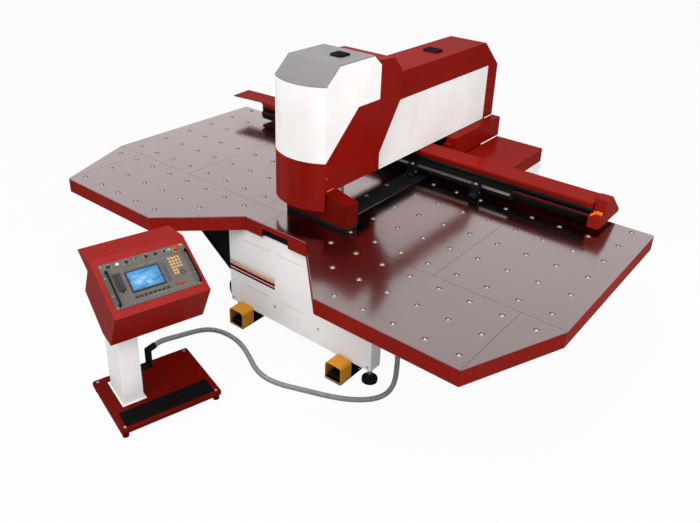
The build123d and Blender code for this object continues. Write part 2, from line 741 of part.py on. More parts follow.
with BuildPart(MACHINE) as beam_body:
    slope = [
        (BEAM_FRONT, up(BEAM_LOW)),
        (BEAM_BACK, up(BEAM_LOW)),
        (BEAM_BACK, up(60)),
        (COVER_BACK, up(BEAM_TOP)),
        (BEAM_FRONT, up(BEAM_TOP)),
    ]
    prism_x(MACHINE, slope, BEAM_LEFT, BEAM_RIGHT)
    with BuildSketch(across(MACHINE, BEAM_LEFT + 8)) as hollow:
        with BuildLine():
            Polyline(*slope, close=True)
        make_face()
        offset(amount=-8, kind=Kind.INTERSECTION, mode=Mode.REPLACE)
    extrude(hollow.sketch, amount=BEAM_RIGHT - BEAM_LEFT - 8, mode=Mode.SUBTRACT)
    ends = (BEAM_LEFT + 15, BEAM_RIGHT - 5)
    block(*ends, RAIL_FRONT + RAIL_LIP, BEAM_FRONT, up(RAIL_MID - RAIL_NECK), up(RAIL_MID + RAIL_NECK))
    block(*ends, RAIL_FRONT, RAIL_FRONT + RAIL_LIP, up(RAIL_MID - RAIL_HEAD), up(RAIL_MID + RAIL_HEAD))
    for side in (-1, 1):
        block(
            side * (ROD_X - ROD_W / 2), side * (ROD_X + ROD_W / 2), BEAM_BACK - 6, ROD_REAR,
            up(ROD_LOW), up(ROD_LOW + ROD_H),
        )

with BuildPart(MACHINE) as beam_cover:
    tip = [(COVER_LEFT, 1370), (COVER_LEFT - 20, 1577)]
    deck = [(BEAM_RIGHT, COVER_FRONT), (BEAM_RIGHT, COVER_BACK), (BEAM_LEFT, COVER_BACK), tip[1], tip[0],
            (BEAM_LEFT, COVER_FRONT)]
    prism_z(MACHINE, deck, up(BEAM_TOP), up(COVER_TOP))
    block(BEAM_LEFT, BEAM_RIGHT, COVER_FRONT, BEAM_FRONT, up(BEAM_TOP - 10), up(BEAM_TOP))

with BuildPart() as beam_end_cap:
    cap = [(CAP_FRONT, up(BEAM_LOW)), (BEAM_BACK, up(BEAM_LOW)), (BEAM_BACK, up(58)), (1568, up(CAP_TOP)),
           (1460, up(CAP_TOP)), (1440, up(110)), (CAP_FRONT, up(110))]
    prism_x(MACHINE, cap, BEAM_RIGHT, CAP_RIGHT)
    chamfer(faces().sort_by(Axis.X)[-1].edges().filter_by(Axis.X, reverse=True), length=4)

with BuildPart(MACHINE) as carriage:
    block(CARRIAGE_LEFT, CARRIAGE_RIGHT, CARRIAGE_FRONT, CARRIAGE_BACK, up(CARRIAGE_LOW), up(CARRIAGE_HIGH))
    ends = (CARRIAGE_LEFT - 1, CARRIAGE_RIGHT + 1)
    neck = RAIL_NECK + SLIDE_GAP
    head = RAIL_HEAD + SLIDE_GAP
    block(*ends, RAIL_FRONT, CARRIAGE_BACK + 1, up(RAIL_MID) - neck, up(RAIL_MID) + neck, mode=Mode.SUBTRACT)
    block(
        *ends, RAIL_FRONT - SLIDE_GAP, RAIL_FRONT + RAIL_LIP + SLIDE_GAP,
        up(RAIL_MID) - head, up(RAIL_MID) + head, mode=Mode.SUBTRACT,
    )
    web = (up(BAR_MID) - BAR_WEB, up(BAR_MID) + BAR_WEB)
    block(CARRIAGE_LEFT, CARRIAGE_RIGHT, CARRIAGE_FRONT - BAR_GAP, CARRIAGE_FRONT, *web)

with BuildPart(MACHINE) as gauge_bar:
    bar_back = CARRIAGE_FRONT - BAR_GAP
    bar_low = up(BAR_MID) - BAR / 2
    block(CARRIAGE_LEFT, CARRIAGE_RIGHT, bar_back - BAR, bar_back, bar_low, bar_low + BAR)


def clamp_body(x):
    """Clamp that hangs on the gauge bar, with a fixed lower jaw."""
    rear = CARRIAGE_FRONT - SLIDE_GAP
    reach = CLAMP_HALF + 1
    inner = CLAMP_HALF - CHEEK
    side = [
        (JAW_TIP, up(JAW_LOW)),
        (rear, up(JAW_LOW)),
        (rear, up(106)),
        (CLAMP_FRONT + 10, up(106)),
        (CLAMP_FRONT, up(92)),
        (CLAMP_FRONT, up(30)),
        (CLAMP_FRONT - 4, up(JAW_LOW + 6)),
        (JAW_TIP, up(JAW_LOW + 6)),
    ]
    prism_x(MACHINE, side, x - CLAMP_HALF, x + CLAMP_HALF)
    block(x - inner, x + inner, JAW_TIP - 1, 1345, up(JAW_LOW + 6), up(60), mode=Mode.SUBTRACT)
    bar_x(x - CLAMP_HALF, x + CLAMP_HALF, PIN_Y, up(PIN_UP), PIN_R + RAM_FIT, mode=Mode.SUBTRACT)
    back = CARRIAGE_FRONT - BAR_GAP
    tall = BAR / 2 + SLIDE_GAP
    block(
        x - reach, x + reach, back - BAR - SLIDE_GAP, back + SLIDE_GAP,
        up(BAR_MID) - tall, up(BAR_MID) + tall, mode=Mode.SUBTRACT,
    )
    thin = BAR_WEB + SLIDE_GAP
    block(x - reach, x + reach, back, rear + 1, up(BAR_MID) - thin, up(BAR_MID) + thin, mode=Mode.SUBTRACT)


def clamp_jaw(x):
    """Upper jaw that turns about a pin between the clamp's cheeks."""
    inner = CLAMP_HALF - CHEEK - SLIDE_GAP
    lever = [
        (JAW_TIP, up(JAW_LOW + 6 + JAW_GAP)),
        (1310, up(JAW_LOW + 6 + JAW_GAP)),
        (1336, up(30)),
        (1338, up(50)),
        (1316, up(54)),
        (1300, up(36)),
        (JAW_TIP, up(27)),
    ]
    prism_x(MACHINE, lever, x - inner, x + inner)
    bar_x(x - CLAMP_HALF, x + CLAMP_HALF, PIN_Y, up(PIN_UP), PIN_R)


with BuildPart(MACHINE) as clamp_left:
    clamp_body(CLAMPS_X[0])

with BuildPart(MACHINE) as clamp_right:
    clamp_body(CLAMPS_X[1])

with BuildPart(MACHINE) as jaw_left:
    clamp_jaw(CLAMPS_X[0])

with BuildPart(MACHINE) as jaw_right:
    clamp_jaw(CLAMPS_X[1])

cabinet_top = up(CABINET_TOP)
with BuildPart(MACHINE) as rear_cabinet:
    block(CABINET_LEFT, CABINET_RIGHT, CABINET_FRONT, CABINET_REAR, PLINTH, cabinet_top)
    block(
        CABINET_LEFT + 3, CABINET_RIGHT - 3, CABINET_FRONT + 3, CABINET_REAR - 3, PLINTH + 3, cabinet_top - 3,
        mode=Mode.SUBTRACT,
    )
    block(CABINET_LEFT + 20, CABINET_RIGHT - 20, CABINET_FRONT + 20, CABINET_REAR - 20, 0, PLINTH)
    for z in (PLINTH + 60, cabinet_top - 200):
        block(CABINET_RIGHT - 16, CABINET_RIGHT + 8, CABINET_REAR, CABINET_REAR + 8, z - 2, z + 21)
        facet_post(CABINET_RIGHT, CABINET_REAR + 12, z - 2, z + 21, 8, 12)
        block(
            CABINET_RIGHT - 14, CABINET_RIGHT + 9, CABINET_REAR + SLIDE_GAP, CABINET_REAR + 21,
            z + 21, z + 45, mode=Mode.SUBTRACT,
        )
        facet_post(CABINET_RIGHT, CABINET_REAR + 12, z + 20, z + 44, 4, 8)

with BuildPart(MACHINE) as cabinet_door:
    top = cabinet_top - 4
    block(
        CABINET_LEFT + 2, CABINET_RIGHT - 12, CABINET_REAR + SLIDE_GAP, CABINET_REAR + DOOR, PLINTH + 4, top
    )
    for z in (PLINTH + 60, cabinet_top - 200):
        block(
            CABINET_RIGHT - 17, CABINET_RIGHT + 9, CABINET_REAR, CABINET_REAR + DOOR + 1,
            z - 3, z + 21 + SLIDE_GAP, mode=Mode.SUBTRACT,
        )
        block(
            CABINET_RIGHT - 13, CABINET_RIGHT, CABINET_REAR + 8, CABINET_REAR + 16, z + 21 + SLIDE_GAP, z + 44
        )
        facet_post(CABINET_RIGHT, CABINET_REAR + 12, z + 21 + SLIDE_GAP, z + 44, 8, 12)
        facet_post(CABINET_RIGHT, CABINET_REAR + 12, z + 21, z + 45, 4 + RAM_FIT, 8, mode=Mode.SUBTRACT)
    lock = (CABINET_LEFT + 40, (PLINTH + top) / 2)
    bar_y(lock[0], CABINET_REAR, CABINET_REAR + DOOR + 1, lock[1], 8 + RAM_FIT, mode=Mode.SUBTRACT)

with BuildPart(MACHINE) as door_handle:
    bar_y(lock[0], CABINET_REAR + 6, CABINET_REAR + DOOR + 14, lock[1], 8)
    block(
        lock[0] - 9, lock[0] + 9, CABINET_REAR + DOOR + 6, CABINET_REAR + DOOR + 14, lock[1] - 90, lock[1]
    )

with BuildPart(MACHINE) as pedal_hoods:
    for x, y in PEDALS:
        with BuildSketch(along(MACHINE, y + HOOD_DEPTH)) as arch:
            with Locations((x, (HOOD_TOP + PEDAL_PLATE) / 2)):
                Rectangle(2 * PEDAL_HALF, HOOD_TOP - PEDAL_PLATE)
            fillet(vertices().group_by(Axis.Y)[-1], radius=22)
        extrude(arch.sketch, amount=HOOD_DEPTH)
        with BuildSketch(along(MACHINE, y + HOOD_DEPTH)) as mouth:
            with Locations((x, (HOOD_TOP + PEDAL_PLATE) / 2 - HOOD)):
                Rectangle(2 * (PEDAL_HALF - HOOD), HOOD_TOP - PEDAL_PLATE)
            fillet(vertices().group_by(Axis.Y)[-1], radius=22 - HOOD)
        extrude(mouth.sketch, amount=HOOD_DEPTH, mode=Mode.SUBTRACT)
        with BuildSketch(along(MACHINE, y + HOOD_DEPTH)) as shield:
            with Locations((x, SWITCH_H + 1 + (HOOD_TOP - SWITCH_H - 1) / 2 - HOOD)):
                Rectangle(2 * (PEDAL_HALF - HOOD), HOOD_TOP - SWITCH_H - 1)
            fillet(vertices().group_by(Axis.Y)[-1], radius=22 - HOOD)
        extrude(shield.sketch, amount=HOOD)

with BuildPart(MACHINE) as pedal_bases:
    for x, y in PEDALS:
        block(x - PEDAL_HALF, x + PEDAL_HALF, y, y + PEDAL_DEPTH, 0, PEDAL_PLATE)
        block(x - 57, x + 57, y + HOOD_DEPTH, y + PEDAL_DEPTH, PEDAL_PLATE, SWITCH_H)
        for side in (-1, 1):
            cheek = TREADLE_HALF + SLIDE_GAP
            pin = (y + TREADLE_PIN, TREADLE_PIN_UP)
            near, far = x + side * cheek, x + side * (cheek + 5)
            block(near, far, pin[0] - 10, pin[0] + 10, PEDAL_PLATE, pin[1] + 10)
            bar_x(near - side, far + side, *pin, TREADLE_PIN_R + RAM_FIT, mode=Mode.SUBTRACT)


def treadle(x, y):
    """Foot plate that tips down about a pin at its back."""
    pin = (y + TREADLE_PIN, TREADLE_PIN_UP)
    side = [(y + 8, 36), (y + 14, 33), (pin[0] + 8, 34), (pin[0] + 8, 46), (y + 14, 42), (y + 8, 40)]
    prism_x(MACHINE, side, x - TREADLE_HALF, x + TREADLE_HALF)
    bar_x(x - TREADLE_HALF - 5, x + TREADLE_HALF + 5, *pin, TREADLE_PIN_R)


with BuildPart(MACHINE) as treadle_left:
    treadle(*PEDALS[0])

with BuildPart(MACHINE) as treadle_right:
    treadle(*PEDALS[1])

with BuildPart(MACHINE) as junction_box:
    block(885, 1015, 62, 160, 420, BEARER_LOW)
    facet_post(950, 100, 400, 420, FITTING_R + 6, 12)

with BuildPart(CONSOLE) as console_base:
    block(-half_w, half_w, -half_d, half_d, FOOT_PLATE_LOW, FOOT_PLATE_TOP)
    chamfer(edges().filter_by(Axis.Z), length=10)
    for x in (-285, 285):
        for y in (-232, 232):
            facet_post(x, y, 12, FOOT_PLATE_LOW, 10, 6)
            facet_post(x, y, 0, 12, 20, 12)

with BuildPart(CONSOLE) as tread_strip:
    block(-277, 277, -232, -105, FOOT_PLATE_TOP, FOOT_PLATE_TOP + 2)

box_low = [(-87, 631), (162, 774)]
with BuildPart(CONSOLE) as console_column:
    lean = (box_low[1][1] - box_low[0][1]) / (box_low[1][0] - box_low[0][0])
    column_back = COLUMN_FRONT + COLUMN_D
    head_front = box_low[0][1] + lean * (COLUMN_FRONT - box_low[0][0])
    side = [(COLUMN_FRONT, FOOT_PLATE_TOP), (column_back, FOOT_PLATE_TOP), (column_back, box_low[1][1] - 6),
            box_low[1], (COLUMN_FRONT, head_front)]
    prism_x(CONSOLE, side, COLUMN_LEFT, COLUMN_LEFT + COLUMN_W)

crest = (BOX_CREST_Y + BOX_RUN * cos(tilt), BOX_CREST_Z + BOX_RUN * sin(tilt))
with BuildPart(CONSOLE) as console_box:
    side = [
        (BOX_CREST_Y, BOX_CREST_Z),
        crest,
        (208, 1021),
        (56, 957),
        box_low[1],
        box_low[0],
        (-214, BOX_BOTTOM_Z),
    ]
    prism_x(CONSOLE, side, BOX_LEFT, BOX_RIGHT)
    with BuildSketch(across(CONSOLE, BOX_LEFT + HOOD)) as hollow:
        with BuildLine():
            Polyline(*side, close=True)
        make_face()
        offset(amount=-HOOD, kind=Kind.INTERSECTION, mode=Mode.REPLACE)
    extrude(hollow.sketch, amount=BOX_RIGHT - BOX_LEFT - 2 * HOOD, mode=Mode.SUBTRACT)
    window_x = RACK_W / 2 - 10
    window = [(RACK_MID - window_x, 60), (RACK_MID + window_x, 60), (RACK_MID + window_x, 330),
              (RACK_MID - window_x, 330)]
    prism_z(FACE, window, -HOOD - 1, 1, mode=Mode.SUBTRACT)

with BuildPart(FACE) as console_panel:
    block(RACK_MID - RACK_W / 2, RACK_MID + RACK_W / 2, RACK_LOW, RACK_LOW + RACK_H, 0, 3)
    for x in BUTTONS:
        facet_post(x, ROW, 3, 6, BUTTON_R + 4, 12)
        facet_post(x, ROW, 3, 7, BUTTON_R + SLIDE_GAP, 12, mode=Mode.SUBTRACT)
    for x in KNOBS + BUTTONS:
        facet_post(x, ROW, -1, 4, 3 + RAM_FIT, 8, mode=Mode.SUBTRACT)
    facet_post(KEY_X, ROW, -1, 4, 7 + RAM_FIT, 8, mode=Mode.SUBTRACT)
    facet_post(*STOP, 3, 5, 20, 16)
    facet_post(*STOP, -1, 6, 9 + RAM_FIT, 12, mode=Mode.SUBTRACT)

with BuildPart(FACE) as panel_handles:
    for x in (-246, 206):
        block(x - 5, x + 5, 62, 288, 3, 32)
        across_edges = edges().filter_by(Axis((0, 0, 0), FACE.x_dir))
        chamfer(across_edges.group_by(Axis(FACE.origin, FACE.z_dir))[-1], length=9)
        block(x - 6, x + 6, 73, 277, 2, 23, mode=Mode.SUBTRACT)

with BuildPart(FACE) as screen_unit:
    block(-157, 33, 120, 255, 3, 7)
    block(-149, 25, 128, 247, 6, 8, mode=Mode.SUBTRACT)
    block(-221, -180, 148, 262, 3, 8)
    block(-206, -203, 160, 250, 5, 9, mode=Mode.SUBTRACT)


def knob(x):
    """Round knob on a spindle, with a grip across it."""
    facet_post(x, ROW, -8, 4, 3, 8)
    facet_post(x, ROW, 3 + SLIDE_GAP, 11, KNOB_R, 24)
    block(x - 3, x + 3, ROW - KNOB_R + 2, ROW + KNOB_R - 2, 11, 18)


def push_button(x):
    """Button in a collar, held by its stem."""
    facet_post(x, ROW, 6.3, 11, BUTTON_R, 12)
    facet_post(x, ROW, -12, 6.3, 3, 8)


with BuildPart(FACE) as knob_1:
    knob(KNOBS[0])

with BuildPart(FACE) as knob_2:
    knob(KNOBS[1])

with BuildPart(FACE) as knob_3:
    knob(KNOBS[2])

with BuildPart(FACE) as knob_4:
    knob(KNOBS[3])

with BuildPart(FACE) as button_1:
    push_button(BUTTONS[0])

with BuildPart(FACE) as button_2:
    push_button(BUTTONS[1])

with BuildPart(FACE) as button_3:
    push_button(BUTTONS[2])

with BuildPart(FACE) as key_switch:
    facet_post(KEY_X, ROW, -10, 5, 7, 8)
    facet_post(KEY_X, ROW, 3 + SLIDE_GAP, 7, 10, 16)
    block(KEY_X - 1.5, KEY_X + 1.5, ROW - 6, ROW + 6, 7, 16)

with BuildPart(FACE) as emergency_stop:
    facet_post(*STOP, -14, 14, 9, 12)
    facet_post(*STOP, 12, 22, 17, 16)
    chamfer(faces().sort_by(Axis(FACE.origin, FACE.z_dir))[-1].edges(), length=4)


def run_of(points):
    """Path through points, rounded at each, and the radii used."""
    radii = []
    for a, b, c in zip(points, points[1:], points[2:]):
        half_turn = (b - a).get_angle(c - b) / 2
        radii.append(0.45 * min((b - a).length, (c - b).length) / tan(radians(half_turn)))
    with BuildLine() as path:
        FilletPolyline(*points, radius=radii)
    return path.line, radii


def tube(points, radius, sides):
    """Many-sided tube along a path; gives back its length and bend radii."""
    line, radii = run_of(points)
    with BuildSketch(Plane(origin=line @ 0, z_dir=line % 0)) as section:
        RegularPolygon(radius, sides)
    sweep(section.sketch, path=line)
    return round(sum(edge.length for edge in line.edges())), [round(r) for r in radii]


def from_machine(points):
    """Points given in the machine's own frame."""
    return [MACHINE.from_local_coords(point) for point in points]


outlet = (40, 86, 300)
turns = ((COLUMN_LEFT + COLUMN_W, 64, 190), (-10, 64, 190), (-10, 64, 300), outlet)
elbow = [CONSOLE.from_local_coords(point) for point in turns]
with BuildPart() as hose_elbow:
    with BuildLine() as bend:
        Polyline(*elbow)
    with BuildSketch(Plane(origin=bend.line @ 0, z_dir=bend.line % 0)) as bore:
        RegularPolygon(FITTING_R, 8, major_radius=False)
    sweep(bore.sketch, path=bend.line, transition=Transition.RIGHT)
    seat = CONSOLE.from_local_coords((COLUMN_LEFT + COLUMN_W, 64, 190))
    with BuildSketch(Plane(origin=seat, z_dir=bend.line % 0)) as nut:
        RegularPolygon(FITTING_R + 6, 6)
    extrude(nut.sketch, amount=14)

hose_points = from_machine([
    (-240, -715, 264), (-285, -600, 200), (-321, -480, 142), (-334, -375, 100), (-318, -300, 70),
    (-268, -250, 46), (-190, -228, 28), (-90, -238, 18.5), (37, -293, 18), (140, -348, 17.5),
    (250, -379, 18), (365, -368, 17.5), (475, -328, 18), (585, -285, 17.5), (690, -245, 18),
    (790, -194, 17.5), (876, -130, 18), (930, -60, 17.5), (949, 10, 18), (950, 62, 34), (951, 92, 78),
    (950, 101, 150), (951, 100, 240), (950, 100, 325), (950, 100, 400),
])
hose_start = elbow[-1] + (elbow[-1] - elbow[-2]).normalized() * 46
with BuildPart() as console_hose:
    hose_size = tube([elbow[-1], hose_start] + hose_points, HOSE_R, 8)

cable_points = from_machine([
    (BASE_LEFT - 12, 65, 222), (-494, 65, 222), (-518, 67, 198), (-526, 70, 150), (-522, 76, 105),
    (-505, 84, 72), (-475, 91, 54), (-440, 95, 44), (-396, 98, 38), (PEDALS[0][0] - 57, 98, 38),
])
with BuildPart() as pedal_cable:
    cable_size = tube(cable_points, CABLE_R, 6)

print("hose length and radii", *hose_size)
print("cable length and radii", *cable_size)

pieces = {
    "c_frame": c_frame,
    "front_base": front_base,
    "wing_gussets": wing_gussets,
    "table_bearers": table_bearers,
    "floor_feet": floor_feet,
    "table_plates": table_plates,
    "centre_plate": centre_plate,
    "brush_panels": brush_panels,
    "table_skirts": table_skirts,
    "ball_transfers": ball_transfers,
    "head_top_cover": head_top_cover,
    "head_front_cover": head_front_cover,
    "head_lower_cover": head_lower_cover,
    "head_rear_cover": head_rear_cover,
    "arm_cover": arm_cover,
    "arm_side_panels": arm_side_panels,
    "top_vents": top_vents,
    "tool_guard": tool_guard,
    "guard_brush": guard_brush,
    "ram_housing": ram_housing,
    "ram": ram,
    "turret_head": turret_head,
    "die_disc": die_disc,
    "y_guides": y_guides,
    "beam_body": beam_body,
    "beam_cover": beam_cover,
    "beam_end_cap": beam_end_cap,
    "carriage": carriage,
    "gauge_bar": gauge_bar,
    "clamp_left": clamp_left,
    "clamp_right": clamp_right,
    "jaw_left": jaw_left,
    "jaw_right": jaw_right,
    "rear_cabinet": rear_cabinet,
    "cabinet_door": cabinet_door,
    "door_handle": door_handle,
    "pedal_hoods": pedal_hoods,
    "pedal_bases": pedal_bases,
    "treadle_left": treadle_left,
    "treadle_right": treadle_right,
    "pedal_cable": pedal_cable,
    "junction_box": junction_box,
    "console_base": console_base,
    "tread_strip": tread_strip,
    "console_column": console_column,
    "console_box": console_box,
    "console_panel": console_panel,
    "panel_handles": panel_handles,
    "screen_unit": screen_unit,
    "hose_elbow": hose_elbow,
    "console_hose": console_hose,
    "knob_1": knob_1,
    "knob_2": knob_2,
    "knob_3": knob_3,
    "knob_4": knob_4,
    "button_1": button_1,
    "button_2": button_2,
    "button_3": button_3,
    "key_switch": key_switch,
    "emergency_stop": emergency_stop,
}
for name, piece in pieces.items():
    piece.part.label = name
    export_step(piece.part, "parts/" + name + ".step")
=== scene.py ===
"""Looks of a turret punch press: ball table, arched frame, punching head, gauge beam, pedals and console."""

import math

import bmesh
import bpy
from bpy.props import FloatProperty, FloatVectorProperty, IntProperty, PointerProperty
from mathutils import Matrix, Vector


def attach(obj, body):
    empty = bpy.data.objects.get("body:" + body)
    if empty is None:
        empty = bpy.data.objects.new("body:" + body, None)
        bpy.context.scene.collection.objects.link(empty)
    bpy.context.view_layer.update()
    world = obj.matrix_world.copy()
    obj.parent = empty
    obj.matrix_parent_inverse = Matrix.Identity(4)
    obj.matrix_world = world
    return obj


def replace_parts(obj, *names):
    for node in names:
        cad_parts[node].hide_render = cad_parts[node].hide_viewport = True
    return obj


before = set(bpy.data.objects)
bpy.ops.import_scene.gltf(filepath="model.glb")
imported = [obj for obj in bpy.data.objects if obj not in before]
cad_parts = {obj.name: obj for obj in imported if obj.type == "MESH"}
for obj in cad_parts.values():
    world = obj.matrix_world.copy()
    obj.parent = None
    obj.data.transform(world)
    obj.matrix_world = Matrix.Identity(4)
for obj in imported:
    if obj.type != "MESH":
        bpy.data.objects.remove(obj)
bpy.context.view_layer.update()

bl_info = {
    "name": "Turret punch press",
    "version": (1, 0, 0),
    "blender": (4, 5, 0),
    "location": "View3D > Sidebar > Press",
    "description": "Builds the looks of a turret punch press over its CAD model",
    "category": "Add Mesh",
}

# Places are written in millimetres from the middle of the table's front notch, heights from the floor
DEPTH_MIDDLE = 635.758
TABLE_TOP = 850
BEARER_LOW = 745
NOTCH_X = 270
BALL_START = 390
BALL_PITCH = 200
BALL_ROWS_REAR = (300, 550, 800, 1050, 1300, 1550)
BALL_ROWS_FRONT = (-345, -120, 105)
BRUSH_X = 275
BRUSH_FRONT = 372
FIELD_BALL_X = 140
FIELD_BALL_START = 550
FIELD_BALL_PITCH = 250
HEAD_HALF = 215
HEAD_NOSE = 165
HEAD_SIDE = 240
HEAD_BACK = 800
HEAD_SHEET = 4
GUARD_LEFT = -135
GUARD_RIGHT = 388
GUARD_FRONT = 262
ARM_SIDE = 171
ARM_TOP = 860
ARM_REAR = 2560
BEAM_LEFT = -1500
BEAM_RIGHT = 1545
BEAM_FRONT = 1420
RAIL_FRONT = 1396
CARRIAGE_LEFT = 20
CARRIAGE_RIGHT = 985
CARRIAGE_FRONT = 1362
CLAMPS = (("clamp_a", 177), ("clamp_b", 727))
BASE_LEFT = -455
BASE_FRONT = 15
CABINET_LEFT = 262
CABINET_RIGHT = 690
CABINET_FRONT = 1900
CABINET_REAR = 2528
DOOR_FACE = 2548
PEDALS = (("treadle_a", -296, -96), ("treadle_b", 605, -109))

# Places on the console, along its front, back from its spot and up from the floor
CONSOLE_SPOT = (-140, -908)
CONSOLE_TURN = math.radians(74.5)
PANEL_TILT = math.radians(28)
PANEL_FOOT = (-342, 866)
STAND_TOP = 60

# Places on the console's panel, along it and up its slope, heights from the sheet behind the panel
PANEL_FACE = 3
CONTROL_ROW = 316
KNOBS = (("knob_a", -222), ("knob_b", -121), ("knob_c", -10), ("knob_d", 45))
BUTTONS = (-172, -68, 125)
KEY_X = 96
STOP = (162, 308)


def at(x, y, z):
    """A point of the machine, in the frame of the model and in metres."""
    return Vector((x, y - DEPTH_MIDDLE, z)) / 1000


def on_console(x, y, z):
    """A point given along, behind and above the console's own spot."""
    c, s = math.cos(CONSOLE_TURN), math.sin(CONSOLE_TURN)
    return at(CONSOLE_SPOT[0] + x * c - y * s, CONSOLE_SPOT[1] + x * s + y * c, z)


def on_panel(x, along, out):
    """A point on the console's sloping panel."""
    c, s = math.cos(PANEL_TILT), math.sin(PANEL_TILT)
    return on_console(x, PANEL_FOOT[0] + along * c - out * s, PANEL_FOOT[1] + along * s + out * c)


class Value:
    """One number or colour that a material works out, written as an expression."""

    def __init__(self, tree, socket):
        self.tree = tree
        self.socket = socket

    def math(self, operation, other=None, flip=False):
        """The number put through an operation, with another number where it takes two."""
        node = self.tree.nodes.new("ShaderNodeMath")
        node.operation = operation
        first, second = (1, 0) if flip else (0, 1)
        self.tree.links.new(self.socket, node.inputs[first])
        if isinstance(other, Value):
            self.tree.links.new(other.socket, node.inputs[second])
        elif other is not None:
            node.inputs[second].default_value = other
        return Value(self.tree, node.outputs[0])

    def __add__(self, other):
        return self.math("ADD", other)

    def __mul__(self, other):
        return self.math("MULTIPLY", other)

    def __sub__(self, other):
        return self.math("SUBTRACT", other)

    def __rsub__(self, other):
        return self.math("SUBTRACT", other, flip=True)

    def __gt__(self, other):
        return self.math("GREATER_THAN", other)

    def __lt__(self, other):
        return self.math("LESS_THAN", other)

    __radd__ = __add__
    __rmul__ = __mul__

    def wave(self):
        """Sine of the number."""
        return self.math("SINE")

    def part(self):
        """What the number has past its whole part."""
        return self.math("FRACT")

    def between(self, low, high):
        """1 inside the two limits and 0 outside."""
        return (self > low) * (self < high)


class Nodes:
    """A node tree while it is being laid out."""

    def __init__(self, tree):
        self.tree = tree

    def node(self, kind, inputs=None, output=0, stops=None, **settings):
        """A node of a kind, its settings and stops made first, then the values or links of its sockets."""
        node = self.tree.nodes.new(kind)
        for name, value in settings.items():
            setattr(node, name, value)
        if stops:
            ramp = node.color_ramp
            while len(ramp.elements) < len(stops):
                ramp.elements.new(0.5)
            for element, (position, shade) in zip(ramp.elements, stops):
                element.position = position
                element.color = (shade, shade, shade, 1)
        for name, value in (inputs or {}).items():
            self.put(node.inputs[name], value)
        return Value(self.tree, node.outputs[output])

    def put(self, socket, value):
        """Links a value to a socket, or sets a constant on it."""
        if isinstance(value, Value):
            self.tree.links.new(value.socket, socket)
        elif isinstance(value, (tuple, list)) and len(value) == 3 and socket.type == "RGBA":
            socket.default_value = (*value, 1)
        else:
            socket.default_value = value

    def seen_by(self, *rays):
        """1 where the surface is met by a ray of one of the kinds, and 0 elsewhere."""
        first, second = (self.node("ShaderNodeLightPath", output=f"Is {ray} Ray") for ray in rays)
        return first + second


class Finish(Nodes):
    """A material while its nodes are being laid out."""

    def __init__(self, name):
        self.material = bpy.data.materials.new(name)
        self.material.use_nodes = True
        super().__init__(self.material.node_tree)
        self.shader = self.tree.nodes["Principled BSDF"]
        self.place = self.node("ShaderNodeTexCoord", output="Object")

    def set(self, **values):
        """Sets sockets of the shader, with _ for a space in their names."""
        for name, value in values.items():
            self.put(self.shader.inputs[name.replace("_", " ")], value)
        return self

    def noise(self, scale, detail=3.0, roughness=0.5, stretch=None):
        """Cloudy values from 0 to 1 over the surface, scale per metre."""
        place = self.place
        if stretch:
            place = self.node("ShaderNodeMapping", {"Vector": place, "Scale": stretch})
        return self.node(
            "ShaderNodeTexNoise", {"Vector": place, "Scale": scale, "Detail": detail, "Roughness": roughness}
        )

    def ramp(self, value, *stops):
        """A value put through a grey ramp."""
        return self.node("ShaderNodeValToRGB", {"Fac": value}, stops=stops)

    def mix(self, factor, low, high):
        """A colour between two others."""
        return self.node(
            "ShaderNodeMix", {0: factor, 6: low if isinstance(low, Value) else (*low, 1),
                              7: high if isinstance(high, Value) else (*high, 1)},
            output=2, data_type="RGBA",
        )

    def axis(self, letter):
        """One coordinate of the place on the surface, in metres."""
        return self.node("ShaderNodeSeparateXYZ", {"Vector": self.place}, output="XYZ".index(letter))

    def bump(self, height, strength=0.2, distance=0.001):
        """Feeds a height into the shader's normal."""
        self.set(Normal=self.node(
            "ShaderNodeBump", {"Height": height, "Strength": strength, "Distance": distance}, output="Normal"
        ))
        return self


def shade(colour, factor):
    """A colour made darker or lighter."""
    return tuple(min(1, c * factor) for c in colour)


def painted(name, colour, rough=0.3, shine=0.2, wear=0.18):
    """Sprayed enamel: faint orange peel, cloudy tone and rubbed patches."""
    finish = Finish(name)
    clouds = finish.ramp(finish.noise(1.7, 4), (0.35, 0), (0.7, 1))
    specks = finish.ramp(finish.noise(60, 6, 0.7), (0.62, 0), (0.74, 1))
    tone = finish.mix(clouds, shade(colour, 0.9), shade(colour, 1.06))
    tone = finish.mix(specks * wear, tone, shade(colour, 0.7))
    finish.set(
        Base_Color=tone, Roughness=clouds * 0.1 + specks * 0.15 + rough,
        Specular_IOR_Level=0, Coat_Weight=shine, Coat_Roughness=rough,
    )
    return finish.bump(finish.noise(420, 2), 0.06, 0.0004).material


def brushed(name, colour, rough=0.3, grain=(1, 60, 60), metal=1.0, stain=0.3):
    """Rolled or ground metal with fine lines, handling marks and darker patches."""
    finish = Finish(name)
    lines = finish.noise(14, 5, 0.65, stretch=grain)
    clouds = finish.ramp(finish.noise(2.2, 5, 0.6), (0.3, 0), (0.72, 1))
    marks = finish.ramp(finish.noise(34, 8, 0.7), (0.58, 0), (0.66, 1))
    tone = finish.mix(clouds, shade(colour, 1 - stain), shade(colour, 1.08))
    tone = finish.mix(lines * 0.35, tone, shade(colour, 0.75))
    finish.set(
        Base_Color=tone, Metallic=metal, Roughness=lines * 0.16 + clouds * 0.08 + marks * 0.06 + rough
    )
    return finish.bump(lines + marks * 0.4, 0.08, 0.0003).material


